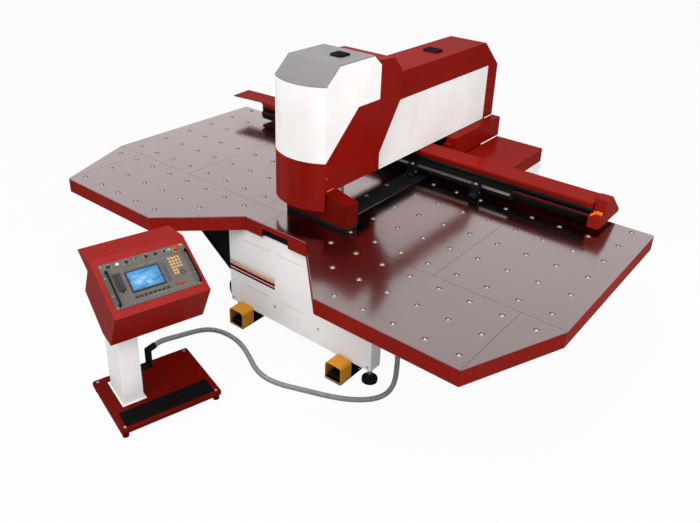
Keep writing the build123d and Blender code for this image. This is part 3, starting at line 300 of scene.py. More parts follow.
def moulded(name, colour, rough=0.5, grain=900, depth=0.15, shine=0.25):
    """Plastic or rubber with a fine moulded grain and slight fading."""
    finish = Finish(name)
    clouds = finish.ramp(finish.noise(9, 4), (0.3, 0), (0.75, 1))
    tone = finish.mix(clouds, shade(colour, 0.85), shade(colour, 1.12))
    finish.set(Base_Color=tone, Roughness=clouds * 0.12 + rough, Specular_IOR_Level=shine)
    return finish.bump(finish.noise(grain, 3, 0.6), depth, 0.0004).material


def rolling_marks(name, colour):
    """Sheet steel of the table: a soft painted reflection along the beam, the colour halved where the sheet
    faces the eye and full at grazing views, scuffs from sheets and a brown cast in places.
    """
    finish = Finish(name)
    lines = finish.noise(9, 4, 0.6, stretch=(1, 22, 22))
    clouds = finish.ramp(finish.noise(1.1, 4, 0.6), (0.3, 0), (0.7, 1))
    scuffs = finish.ramp(finish.noise(16, 9, 0.72, stretch=(1, 3, 1)), (0.55, 0), (0.66, 1))
    # Painted reflection: the base colour follows the viewing angle, darker where the sheet faces the eye
    slant = finish.node("ShaderNodeLayerWeight", {"Blend": 0.5}, output="Facing")
    painted_sheen = finish.ramp(slant, (0.3, 0), (0.68, 1))
    tone = finish.mix(painted_sheen, shade(colour, 0.5), colour)
    tone = finish.mix(clouds * 0.5, tone, shade(colour, 0.8))
    tone = finish.mix(scuffs * 0.15, tone, shade(colour, 0.6))
    finish.set(Base_Color=tone, Metallic=1.0, Roughness=lines * 0.06 + scuffs * 0.05 + clouds * 0.04 + 0.09)
    return finish.bump(lines + scuffs * 0.3, 0.04, 0.0002).material


def bristles(name, colour):
    """Packed nylon bristles, seen from their tips."""
    finish = Finish(name)
    tips = finish.noise(650, 2, 0.8)
    rows = (finish.axis("X") * 520).wave()
    tone = finish.mix(tips, shade(colour, 0.4), shade(colour, 2.2))
    finish.set(Base_Color=tone, Roughness=tips * 0.2 + 0.6, Specular_IOR_Level=0.1)
    return finish.bump(tips + rows * 0.3, 0.6, 0.002).material


def ribbed_hose(name, colour):
    """Grey conduit with a dull coat and grime between its ribs."""
    finish = Finish(name)
    grime = finish.ramp(finish.noise(40, 5, 0.7), (0.4, 0), (0.75, 1))
    tone = finish.mix(grime, shade(colour, 1.1), shade(colour, 0.75))
    finish.set(Base_Color=tone, Roughness=grime * 0.2 + 0.38)
    return finish.bump(finish.noise(300, 3), 0.1, 0.0004).material


def lit_screen(name, dark, light):
    """Blue display with a paler window of lines and a menu bar."""
    finish = Finish(name)
    across, down = finish.axis("X"), finish.axis("Y")
    lines = (down * 640).wave().between(0.55, 1.1) * (across * 95).wave().between(-0.75, 1.1)
    glow = finish.noise(25, 3)
    tone = finish.mix(lines * 0.7 + glow * 0.2, dark, light)
    finish.set(Base_Color=tone, Emission_Color=tone, Emission_Strength=0.3, Roughness=glow * 0.05 + 0.1)
    return finish.material


def ruled_bar(name, colour):
    """Ground bar with a mark every ten millimetres."""
    finish = Finish(name)
    lines = finish.noise(30, 5, 0.7, stretch=(1, 40, 40))
    ticks = (finish.axis("X") * 100).part() < 0.09
    tone = finish.mix(ticks * 0.75, colour, (0.02, 0.02, 0.02))
    finish.set(Base_Color=tone, Metallic=0.9, Roughness=lines * 0.2 + 0.2)
    return finish.bump(lines, 0.08, 0.0002).material


paint = {}


def mix_paints(tones):
    """Makes every finish once, from the colours in the panel."""
    red, white, grey, steel = (tuple(c) for c in (tones.red, tones.white, tones.grey, tones.steel))
    paint.update(
        red=painted("red enamel", red, 0.2, 0.14),
        # A darker copy of the red: painted shade on the tool guard under the head and on the console's foot
        # plate, and the real colour of the dark stripes on the front base
        deep_red=painted("stripe red and painted shade enamel", shade(red, 0.55), 0.25, 0.1),
        # The darkest copy of the red: painted shade on the rail edge under the beam's lip and on the arm's
        # rear louvres
        dark_red=painted("painted shade red enamel", shade(red, 0.35), 0.35, 0.1),
        # Near-black enamel: the wing gussets' own colour, and painted shade on the frame, the table bearers
        # and the ram housing, which stand under the arm and the table
        shadow=painted("black enamel and painted shade", (0.008, 0.007, 0.008), 0.5, 0.05),
        white=painted("white enamel", white, 0.3, 0.25, 0.04),
        grey=painted("grey enamel", grey, 0.25, 0.3, 0.08),
        panel=painted("grey panel enamel", tuple(tones.panel), 0.45, 0.15, 0.1),
        yellow=painted("yellow enamel", tuple(tones.yellow), 0.35, 0.2, 0.12),
        orange=painted("orange enamel", (0.85, 0.22, 0.03), 0.4, 0.2, 0.05),
        pale_orange=painted("pale orange enamel", (0.85, 0.5, 0.25), 0.4, 0.2, 0.05),
        table=rolling_marks("table sheet steel", steel),
        steel=brushed("ground steel", (0.5, 0.5, 0.51)),
        bright=brushed("bright steel", (0.7, 0.7, 0.71), 0.16, (1, 20, 20)),
        ball=brushed("ball steel", (0.3, 0.25, 0.24), 0.24, (1, 1, 1)),
        rim=brushed("pressed rim", (0.25, 0.2, 0.2), 0.25, (1, 1, 1)),
        dull=brushed("dull steel", (0.28, 0.27, 0.26), 0.35),
        bar=ruled_bar("ruled steel bar", (0.42, 0.4, 0.39)),
        black=painted("black enamel", (0.006, 0.006, 0.006), 0.4, 0.1, 0.1),
        cast=painted("dark cast iron", (0.012, 0.012, 0.012), 0.5, 0.12, 0.2),
        rubber=moulded("black rubber", (0.008, 0.008, 0.008), 0.7, 500, 0.3, 0.1),
        # Dark brown for the flat rings round the balls: painted shade in the gap under each rim
        brown=moulded("painted shade seat", (0.06, 0.04, 0.035), 0.5, 500, 0.1, 0.2),
        tread=moulded("ribbed tread", (0.005, 0.004, 0.004), 0.75, 260, 0.6, 0.05),
        plastic=moulded("black plastic", (0.008, 0.008, 0.008), 0.4, 900, 0.12),
        grey_plastic=moulded("grey plastic", (0.25, 0.26, 0.27), 0.45),
        cream=moulded("cream key plastic", (0.42, 0.27, 0.13), 0.5),
        white_plastic=moulded("white plastic", (0.7, 0.68, 0.6), 0.35, 900, 0.08),
        red_plastic=moulded("red plastic", (0.3, 0.02, 0.01), 0.35, 900, 0.08),
        blue_plastic=moulded("dark blue plastic", (0.06, 0.05, 0.11), 0.4),
        bristle=bristles("black bristles", (0.004, 0.004, 0.004)),
        hose=ribbed_hose("grey hose", tuple(tones.hose)),
        screen=lit_screen("display", (0.02, 0.14, 0.34), (0.16, 0.42, 0.6)),
    )


# Finishes listed under each slot, looked up for a piece that names no slot of its own
slot_tones = {
    "bright_steel": "ball rim dull steel bright",
    "black_metal": "brown black cast",
    "white_paint": "white",
    "red_paint": "red deep_red dark_red",
    "grey_paint": "grey grey_plastic",
    "yellow_paint": "yellow orange pale_orange",
    "black_brush": "bristle tread",
    "black_plastic": "plastic",
    "button_white": "cream white_plastic",
    "stop_red": "red_plastic",
    "screen": "screen blue_plastic",
}
usual_slot = {tone: slot for slot, tones in slot_tones.items() for tone in tones.split()}


def dress(node, material):
    """Gives a CAD node its finish."""
    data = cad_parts[node].data
    data.materials.clear()
    data.materials.append(material)


def millimetres(length):
    """A length of the panel, which is in metres, for the shapes."""
    return round(length * 1000, 4)


def added(name, mesh, material):
    """Object made of a finished mesh, linked to the scene."""
    data = bpy.data.meshes.new(name)
    mesh.to_mesh(data)
    mesh.free()
    data.materials.append(material)
    thing = bpy.data.objects.new(name, data)
    bpy.context.scene.collection.objects.link(thing)
    return thing


def placed(axis, a, b, along):
    """Coordinates of a point given in the two other directions and along an axis."""
    return {"x": (along, a, b), "y": (a, along, b), "z": (a, b, along)}[axis]


def circle(centre, radius, sides):
    """Points round a centre, in the two directions across an axis."""
    turns = [2 * math.pi * k / sides for k in range(sides)]
    return [(centre[0] + radius * math.cos(t), centre[1] + radius * math.sin(t)) for t in turns]


def corners(x0, x1, y0, y1):
    """Four corners of a rectangle."""
    return [(x0, y0), (x1, y0), (x1, y1), (x0, y1)]


class Shape:
    """Mesh under construction, in millimetres of the machine, the console or its panel."""

    def __init__(self, where=at):
        self.mesh = bmesh.new()
        self.where = where

    def loft(self, rings, closed=True):
        """Skin over rings of equally many points, with flat ends."""
        loops = [[self.mesh.verts.new(self.where(*p)) for p in ring] for ring in rings]
        count = len(loops[0])
        for low, high in zip(loops, loops[1:]):
            for k in range(count):
                self.mesh.faces.new((low[k], low[(k + 1) % count], high[(k + 1) % count], high[k]))
        if closed:
            self.mesh.faces.new(loops[0][::-1])
            self.mesh.faces.new(loops[-1])
        return self

    def box(self, x0, x1, y0, y1, z0, z1):
        """Block between two limits in each direction."""
        return self.prism("z", corners(x0, x1, y0, y1), z0, z1)

    def border(self, x0, x1, y0, y1, width, z0, z1):
        """Four bars round an opening, the long ones past the short ones."""
        for low, high in ((y0 - width, y0), (y1, y1 + width)):
            self.box(x0 - width, x1 + width, low, high, z0, z1)
        for low, high in ((x0 - width, x0), (x1, x1 + width)):
            self.box(low, high, y0, y1, z0, z1)
        return self

    def prism(self, axis, points, low, high):
        """Outline in the two other directions, drawn out from low to high."""
        return self.loft([[placed(axis, a, b, along) for a, b in points] for along in (low, high)])

    def turned(self, axis, centre, steps, sides=24):
        """Turned piece: steps are pairs of a place along the axis and a radius."""
        return self.loft([
            [placed(axis, a, b, along) for a, b in circle(centre, radius, sides)] for along, radius in steps
        ])

    def turned_ring(self, axis, centre, profile, base=0, sides=24):
        """Ring turned from a closed profile of radii and places along the axis."""
        loops = []
        for radius, along in profile:
            ring = [placed(axis, a, b, base + along) for a, b in circle(centre, radius, sides)]
            loops.append([self.mesh.verts.new(self.where(*p)) for p in ring])
        for one, two in zip(loops, loops[1:] + loops[:1]):
            for k in range(sides):
                self.mesh.faces.new((one[k], one[(k + 1) % sides], two[(k + 1) % sides], two[k]))
        return self

    def ring(self, axis, centre, low, high, inner, outer, sides=24):
        """Washer with square edges."""
        profile = ((outer, low), (outer, high), (inner, high), (inner, low))
        return self.turned_ring(axis, centre, profile, 0, sides)

    def piece(self, name, tone, body="machine", slot=None, bevel=0.0, smooth=0.6):
        """Turns the mesh into a piece that rides on a body."""
        slot = slot or usual_slot[tone]
        bmesh.ops.recalc_face_normals(self.mesh, faces=self.mesh.faces)
        piece = added(name, self.mesh, paint[tone])
        if smooth:
            for face in piece.data.polygons:
                face.use_smooth = True
            for edge, sharp in zip(piece.data.edges, sharp_edges(piece.data, smooth)):
                edge.use_edge_sharp = sharp
        if bevel:
            round_edges(piece, bevel)
        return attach(piece, body)


def sharp_edges(data, limit):
    """Whether each edge of a mesh turns by more than the limit."""
    flat = {}
    for face in data.polygons:
        for key in face.edge_keys:
            flat.setdefault(key, []).append(face.normal)
    sharp = []
    for edge in data.edges:
        normals = flat.get(tuple(sorted(edge.vertices)), [])
        sharp.append(len(normals) != 2 or normals[0].angle(normals[1], 0) > limit)
    return sharp


def round_edges(piece, width):
    """Breaks the sharp edges of a piece by a width in millimetres."""
    modifier = piece.modifiers.new("broken edges", "BEVEL")
    modifier.width = width / 1000
    modifier.segments = 2
    modifier.limit_method = "ANGLE"
    modifier.angle_limit = math.radians(40)


class PressTones(bpy.types.PropertyGroup):
    """Colours that a user would change."""

    red: FloatVectorProperty(
        name="Red", description="Enamel of the covers", subtype="COLOR", default=(0.225, 0.0065, 0.0035)
    )
    white: FloatVectorProperty(
        name="White", description="Enamel of the pale covers", subtype="COLOR", default=(0.9, 0.885, 0.875)
    )
    grey: FloatVectorProperty(
        name="Grey", description="Enamel of the head's top", subtype="COLOR", default=(0.2, 0.19, 0.195)
    )
    panel: FloatVectorProperty(
        name="Panel", description="Console panel", subtype="COLOR", default=(0.1, 0.09, 0.08)
    )
    steel: FloatVectorProperty(
        name="Table", description="Sheet steel of the table", subtype="COLOR", default=(0.45, 0.36, 0.36)
    )
    yellow: FloatVectorProperty(
        name="Yellow", description="Pedal hoods", subtype="COLOR", default=(0.72, 0.3, 0.03)
    )
    hose: FloatVectorProperty(
        name="Hose", description="Hose of the console", subtype="COLOR", default=(0.2, 0.21, 0.22)
    )


class PressSizes(bpy.types.PropertyGroup):
    """Sizes that a user would change."""

    edge: FloatProperty(
        name="Broken edge", description="Width of broken edges", default=0.0016, min=0, unit="LENGTH"
    )
    rib: FloatProperty(
        name="Hose rib", description="Distance between the ribs", default=0.008, min=0.004, unit="LENGTH"
    )
    tuft: FloatProperty(
        name="Tuft pitch", description="Distance between tufts", default=0.013, min=0.008, unit="LENGTH"
    )
    sides: IntProperty(name="Ball sides", description="Sides of each ball's outline", default=20, min=8)


class PRESS_OT_stage(bpy.types.Operator):
    """Camera, floor and soft studio light"""

    bl_idname = "press.stage"
    bl_label = "Stage"

    picture_width = 700
    focal = 725.82
    drop = 71.5
    sensor = 36
    eye = (2921, -2998, TABLE_TOP + 2231)
    turns = (37.67, 24.94, 2.10)
    floor_share = 0.95
    room_light = 0.3

    def execute(self, context):
        lens = bpy.data.cameras.new("camera")
        lens.lens = self.focal / self.picture_width * self.sensor
        lens.shift_y = -self.drop / self.picture_width
        lens.clip_end = 200
        camera = bpy.data.objects.new("camera", lens)
        context.scene.collection.objects.link(camera)
        turn, rise, roll = (math.radians(v) for v in self.turns)
        back = Vector((math.sin(turn) * math.cos(rise), -math.cos(turn) * math.cos(rise), math.sin(rise)))
        right = Vector((math.cos(turn), math.sin(turn), 0))
        over = back.cross(right)
        side = right * math.cos(roll) + over * math.sin(roll)
        over = over * math.cos(roll) - right * math.sin(roll)
        spin = Matrix((side, over, back)).transposed().to_4x4()
        camera.matrix_world = Matrix.Translation(at(*self.eye)) @ spin
        context.scene.camera = camera
        context.scene.view_settings.view_transform = "Standard"
        self.floor()
        self.lights(context)
        return {"FINISHED"}

    def floor(self):
        """Plain floor that looks white and still keeps the shadow."""
        finish = Finish("pale floor")
        finish.set(Base_Color=(0.55, 0.55, 0.55), Roughness=0.9, Specular_IOR_Level=0.1)
        share = finish.seen_by("Camera", "Transmission") * self.floor_share
        plain = Value(finish.tree, finish.shader.outputs[0])
        glow = finish.node("ShaderNodeEmission", {"Strength": 1.0})
        blend = finish.node("ShaderNodeMixShader", {0: share, 1: plain, 2: glow})
        finish.put(finish.tree.nodes["Material Output"].inputs[0], blend)
        sheet = bmesh.new()
        sheet.faces.new([sheet.verts.new((x, y, -0.0005)) for x, y in corners(-60, 60, -40, 80)])
        added("floor", sheet, finish.material)

    def lights(self, context):
        """Four soft lamps turned to the machine, and a white room."""
        lamps = (
            ("key", (1.0, -5.0, 5.5), 4.0, 265),
            ("fill", (5.0, 0.5, 4.2), 3.5, 230),
            ("left", (-6.0, -2.5, 4.5), 4.0, 110),
            ("top", (-0.2, -1.2, 5.6), 3.5, 145),
        )
        for name, spot, size, power in lamps:
            lamp = bpy.data.lights.new(name, "AREA")
            lamp.size = size
            lamp.energy = power
            light = bpy.data.objects.new(name, lamp)
            light.location = spot
            light.rotation_euler = (Vector((0, 0, 0.8)) - Vector(spot)).to_track_quat("-Z", "Y").to_euler()
            context.scene.collection.objects.link(light)
        world = bpy.data.worlds.new("studio")
        context.scene.world = world
        world.use_nodes = True
        room = Nodes(world.node_tree)
        ground = room.tree.nodes["Background"]
        room.put(ground.inputs[0], (1, 1, 1))
        room.put(ground.inputs[1], room.seen_by("Camera", "Glossy") * (1 - self.room_light) + self.room_light)


class PRESS_OT_cords(bpy.types.Operator):
    """Ribbed hose of the console and the left pedal's cable"""

    bl_idname = "press.cords"
    bl_label = "Hose and cable"

    hose_thickness = 0.034
    hose_groove = 0.0155
    cable_thickness = 0.016

    def route(self, name, points):
        """Smooth line that goes by its points."""
        line = bpy.data.curves.new(name, "CURVE")
        line.dimensions = "3D"
        line.resolution_u = 12
        spline = line.splines.new("NURBS")
        spline.points.add(len(points) - 1)
        for knot, point in zip(spline.points, points):
            knot.co = (*point, 1)
        spline.order_u = 3
        spline.use_endpoint_u = True
        return line

    def followed(self, line):
        """Points along a smooth line."""
        probe = bpy.data.objects.new("probe", line)
        bpy.context.scene.collection.objects.link(probe)
        data = bpy.data.meshes.new_from_object(probe)
        points = [v.co.copy() for v in data.vertices]
        bpy.data.objects.remove(probe)
        return points

    def execute(self, context):
        outlet = on_console(40, 86, 300)
        start = outlet + (outlet - on_console(-10, 64, 300)).normalized() * 0.046
        hose = [outlet, start] + [at(*p) for p in (
            (-240, -715, 264), (-285, -600, 200), (-321, -480, 142), (-334, -375, 100), (-318, -300, 70),
            (-268, -250, 46), (-190, -228, 28), (-90, -238, 18.5), (37, -293, 18), (140, -348, 17.5),
            (250, -379, 18), (365, -368, 17.5), (475, -328, 18), (585, -285, 17.5), (690, -245, 18),
            (790, -194, 17.5), (876, -130, 18), (930, -60, 17.5), (949, 10, 18), (950, 62, 34), (951, 92, 78),
            (950, 101, 150), (951, 100, 240), (950, 100, 325), (950, 100, 400),
        )]
        path = self.followed(self.route("hose route", hose))
        pitch = context.scene.press_sizes.rib
        tube = self.ribbed_tube("console_hose_skin", path, self.hose_groove, self.hose_thickness / 2, pitch)
        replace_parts(tube, "console_hose")
        cable = [at(*p) for p in (
            (-467, 65, 222), (-494, 65, 222), (-518, 67, 198), (-526, 70, 150), (-522, 76, 105),
            (-505, 84, 72), (-475, 91, 54), (-440, 95, 44), (-396, 98, 38), (-353, 98, 38),
        )]
        line = self.route("pedal_cable_skin", cable)
        line.bevel_depth = self.cable_thickness / 2
        line.bevel_resolution = 3
        line.materials.append(paint["rubber"])
        cord = bpy.data.objects.new("pedal_cable_skin", line)
        context.scene.collection.objects.link(cord)
        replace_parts(cord, "pedal_cable")
        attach(cord, "machine")
        span = self.followed(self.route("cable route", cable))
        return {"FINISHED"}

    def ribbed_tube(self, name, path, low, high, pitch):
        """Corrugated tube along a path: a rounded rib every pitch, drawn with four rings."""
        shape = bmesh.new()
        sides = 14
        radii = (low, (low + high) / 2, high, (low + high) / 2)
        places = [0.0]
        for a, b in zip(path, path[1:]):
            places.append(places[-1] + (b - a).length)
        count = int(places[-1] / pitch * len(radii))
        side = Vector((1, 0, 0))
        loops = []
        k = 0
        for step in range(count + 1):
            place = places[-1] * step / count
            while k < len(places) - 2 and places[k + 1] < place:
                k += 1
            share = (place - places[k]) / (places[k + 1] - places[k])
            spot = path[k].lerp(path[k + 1], share)
            ahead = (path[k + 1] - path[k]).normalized()
            if 0 < k < len(places) - 2:
                before = (path[k] - path[k - 1]).normalized()
                after = (path[k + 2] - path[k + 1]).normalized()
                ahead = (before.lerp(ahead, 0.5 + share / 2) + ahead.lerp(after, share / 2)).normalized()
            side = (side - ahead * side.dot(ahead)).normalized()
            over = ahead.cross(side)
            radius = radii[step % len(radii)]
            loops.append([
                shape.verts.new(spot + (side * math.cos(t) + over * math.sin(t)) * radius)
                for t in (2 * math.pi * n / sides for n in range(sides))
            ])
        for one, two in zip(loops, loops[1:]):
            for n in range(sides):
                shape.faces.new((one[n], one[(n + 1) % sides], two[(n + 1) % sides], two[n]))
        shape.faces.new(loops[0][::-1])
        shape.faces.new(loops[-1])
        bmesh.ops.recalc_face_normals(shape, faces=shape.faces)
        tube = added(name, shape, paint["hose"])
        for face in tube.data.polygons:
            face.use_smooth = True
        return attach(tube, "machine")


class PRESS_OT_finishes(bpy.types.Operator):
    """Finishes and broken edges of the CAD pieces"""

    bl_idname = "press.finishes"
    bl_label = "Finishes"

    groups = {
        "red": "arm_cover head_rear_cover table_skirts beam_body beam_cover beam_end_cap "
               "y_guides console_box",
        # Painted shade: the guard and the console's foot plate take the darker copy of the red
        "deep_red": "console_base tool_guard",
        "white": "front_base arm_side_panels rear_cabinet cabinet_door console_column junction_box",
        "panel": "console_panel",
        # Painted shade: the frame, the bearers and the ram housing take near-black where they stand in shade;
        # the gussets are black
        "shadow": "c_frame wing_gussets table_bearers ram_housing",
        "table": "table_plates centre_plate",
        "bristle": "brush_panels guard_brush",
        "tread": "tread_strip",
        "steel": "turret_head die_disc ram",
        "bar": "gauge_bar",
        "black": "carriage clamp_left clamp_right panel_handles top_vents door_handle pedal_bases hose_elbow",
        "cast": "floor_feet jaw_left jaw_right",
        "yellow": "pedal_hoods",
        "rubber": "treadle_left treadle_right",
        "plastic": "knob_1 knob_2 knob_3 knob_4 button_2 key_switch screen_unit",
        "white_plastic": "button_1",
        "grey_plastic": "button_3",
        "red_plastic": "emergency_stop",
    }
    broken = (
        "arm_cover head_rear_cover tool_guard beam_end_cap front_base rear_cabinet cabinet_door "
        "console_column console_base carriage y_guides junction_box c_frame pedal_hoods"
    )

    def execute(self, context):
        for key, nodes in self.groups.items():
            for node in nodes.split():
                dress(node, paint[key])
        for node in self.broken.split():
            round_edges(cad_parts[node], millimetres(context.scene.press_sizes.edge))
        return {"FINISHED"}


class PRESS_OT_table(bpy.types.Operator):
    """Ball transfers, a flat dark ring of painted shade round each ball, bristle fields and the guard's brush
    """

    bl_idname = "press.table"
    bl_label = "Table"

    ball = 13
    ball_rise = 6
    rim = ((15.6, 0.1), (15.6, 1.5), (16.4, 1.9), (17.6, 1.3), (18.4, 0.1))
    field_ball = ((0, 16), (4.6, 16), (5.4, 15), (5.4, 11), (8.4, 7.5), (9.4, 3))
    tuft_foot = 3.2
    tuft_tip = 2.2
    tuft_turns = (0.3, 1.55, 2.8, 4.05, 5.3)
    field_inner = 115
    field_width = 150
    field_depth = 1205

    def spots(self):
        """Places of the ball transfers, clear of the front notch and of the wings' cut corners."""
        columns = [BALL_START + BALL_PITCH * k for k in range(8)]
        spots = [(x, y) for x in columns for y in BALL_ROWS_REAR]
        for x in columns:
            for y in BALL_ROWS_FRONT:
                past_notch = x - NOTCH_X + min(y, 0) * 450 / 440 > 50
                if past_notch and (x < 1615 or y > 0 and x < 1840):
                    spots.append((x, y))
        return [(side * x, y) for side in (-1, 1) for x, y in spots]

    def field_balls(self):
        """Places of the balls that stand among the bristles."""
        rows = [FIELD_BALL_START + FIELD_BALL_PITCH * k for k in range(5)]
        return [(x, y) for x in (-FIELD_BALL_X, FIELD_BALL_X) for y in rows]

    def execute(self, context):
        sizes = context.scene.press_sizes
        balls, seat_shade, rims = Shape(), Shape(), Shape()
        middle = TABLE_TOP + self.ball_rise - self.ball
        angles = [math.radians(a) for a in (62, 48, 33, 18, 5)]
        dome = [(middle + self.ball * math.cos(a), self.ball * math.sin(a)) for a in angles]
        for spot in self.spots():
            balls.turned("z", spot, dome, sizes.sides)
            # A flat dark ring on the table round each ball: painted shade in the gap under the rim
            seat_shade.ring("z", spot, TABLE_TOP + 0.05, TABLE_TOP + 0.6, 11.5, 16, sizes.sides)
            rims.turned_ring("z", spot, self.rim, TABLE_TOP, sizes.sides)
        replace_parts(balls.piece("balls", "ball"), "ball_transfers")
        seat_shade.piece("ball_seat_shade", "brown")
        rims.piece("ball_rims", "rim")
        field = Shape()
        for spot in self.field_balls():
            field.turned("z", spot, [(TABLE_TOP + h, r) for h, r in self.field_ball], 20)
        field.piece("field_balls", "dull")
        edges = Shape()
        for side in (-1, 1):
            near, far = side * (BRUSH_X - 3.5), side * (BRUSH_X - 1)
            edges.box(near, far, BRUSH_FRONT + 2, 1600, TABLE_TOP, TABLE_TOP + 1.6)
        edges.piece("field_edges", "rim")
        self.tufts(millimetres(sizes.tuft))
        self.guard_bristles()
        return {"FINISHED"}

    def tufts(self, pitch):
        """Bristle tufts of both brush fields, each leaning its own way."""
        field = Shape()
        free, half_pitch = 20, FIELD_BALL_PITCH / 2
        step = 0
        for side in (-1, 1):
            for i in range(int(self.field_width / pitch) + 1):
                for j in range(int(self.field_depth / pitch) + 1):
                    step += 1
                    x = side * (self.field_inner + i * pitch + (j % 2) * pitch / 2)
                    y = BRUSH_FRONT + 12 + j * pitch
                    from_ball = (y - FIELD_BALL_START + half_pitch) % FIELD_BALL_PITCH - half_pitch
                    near_ball = abs(abs(x) - FIELD_BALL_X) < free and abs(from_ball) < free
                    if abs(x) > BRUSH_X - 9 or near_ball:
                        continue
                    lean = math.sin(step * 12.9) * 1.6, math.cos(step * 7.7) * 1.6
                    tall = 4.4 + math.sin(step * 3.1) * 0.8
                    rings = []
                    for (a, b), radius, height in (
                        ((x, y), self.tuft_foot, -0.4), ((x + lean[0], y + lean[1]), self.tuft_tip, tall)
                    ):
                        rings.append([(a + radius * math.cos(t), b + radius * math.sin(t), TABLE_TOP + height)
                                      for t in self.tuft_turns])
                    field.loft(rings)
        field.piece("brush_tufts", "bristle", smooth=0)

    def guard_bristles(self):
        """Strands that hang under the guard, two deep along its front and its sides."""
        strands = Shape()
        low, high = TABLE_TOP + 2.4, TABLE_TOP + 28
        pitch, half, uneven = 4, 1.8, 0.8
        for row, y in enumerate((GUARD_FRONT + 0.2, GUARD_FRONT + 4.5)):
            for k in range(131):
                x = GUARD_LEFT + 2.5 + k * pitch - row * 2
                drop = low + math.sin(k * 5.3 + row) * uneven
                strands.box(x - half, x + half, y, y + 3.3, drop, high)
        for x in (GUARD_LEFT + 0.2, GUARD_LEFT + 4, GUARD_RIGHT - 4, GUARD_RIGHT - 0.2):
            inward = 1.5 if x < 0 else -1.5
            for k in range(26):
                y = GUARD_FRONT + 6 + k * pitch
                drop = low + math.cos(k * 4.1 + x) * uneven
                strands.box(min(x, x + inward), max(x, x + inward), y - half, y + half, drop, high)
        strands.piece("guard_bristles", "bristle", smooth=0)


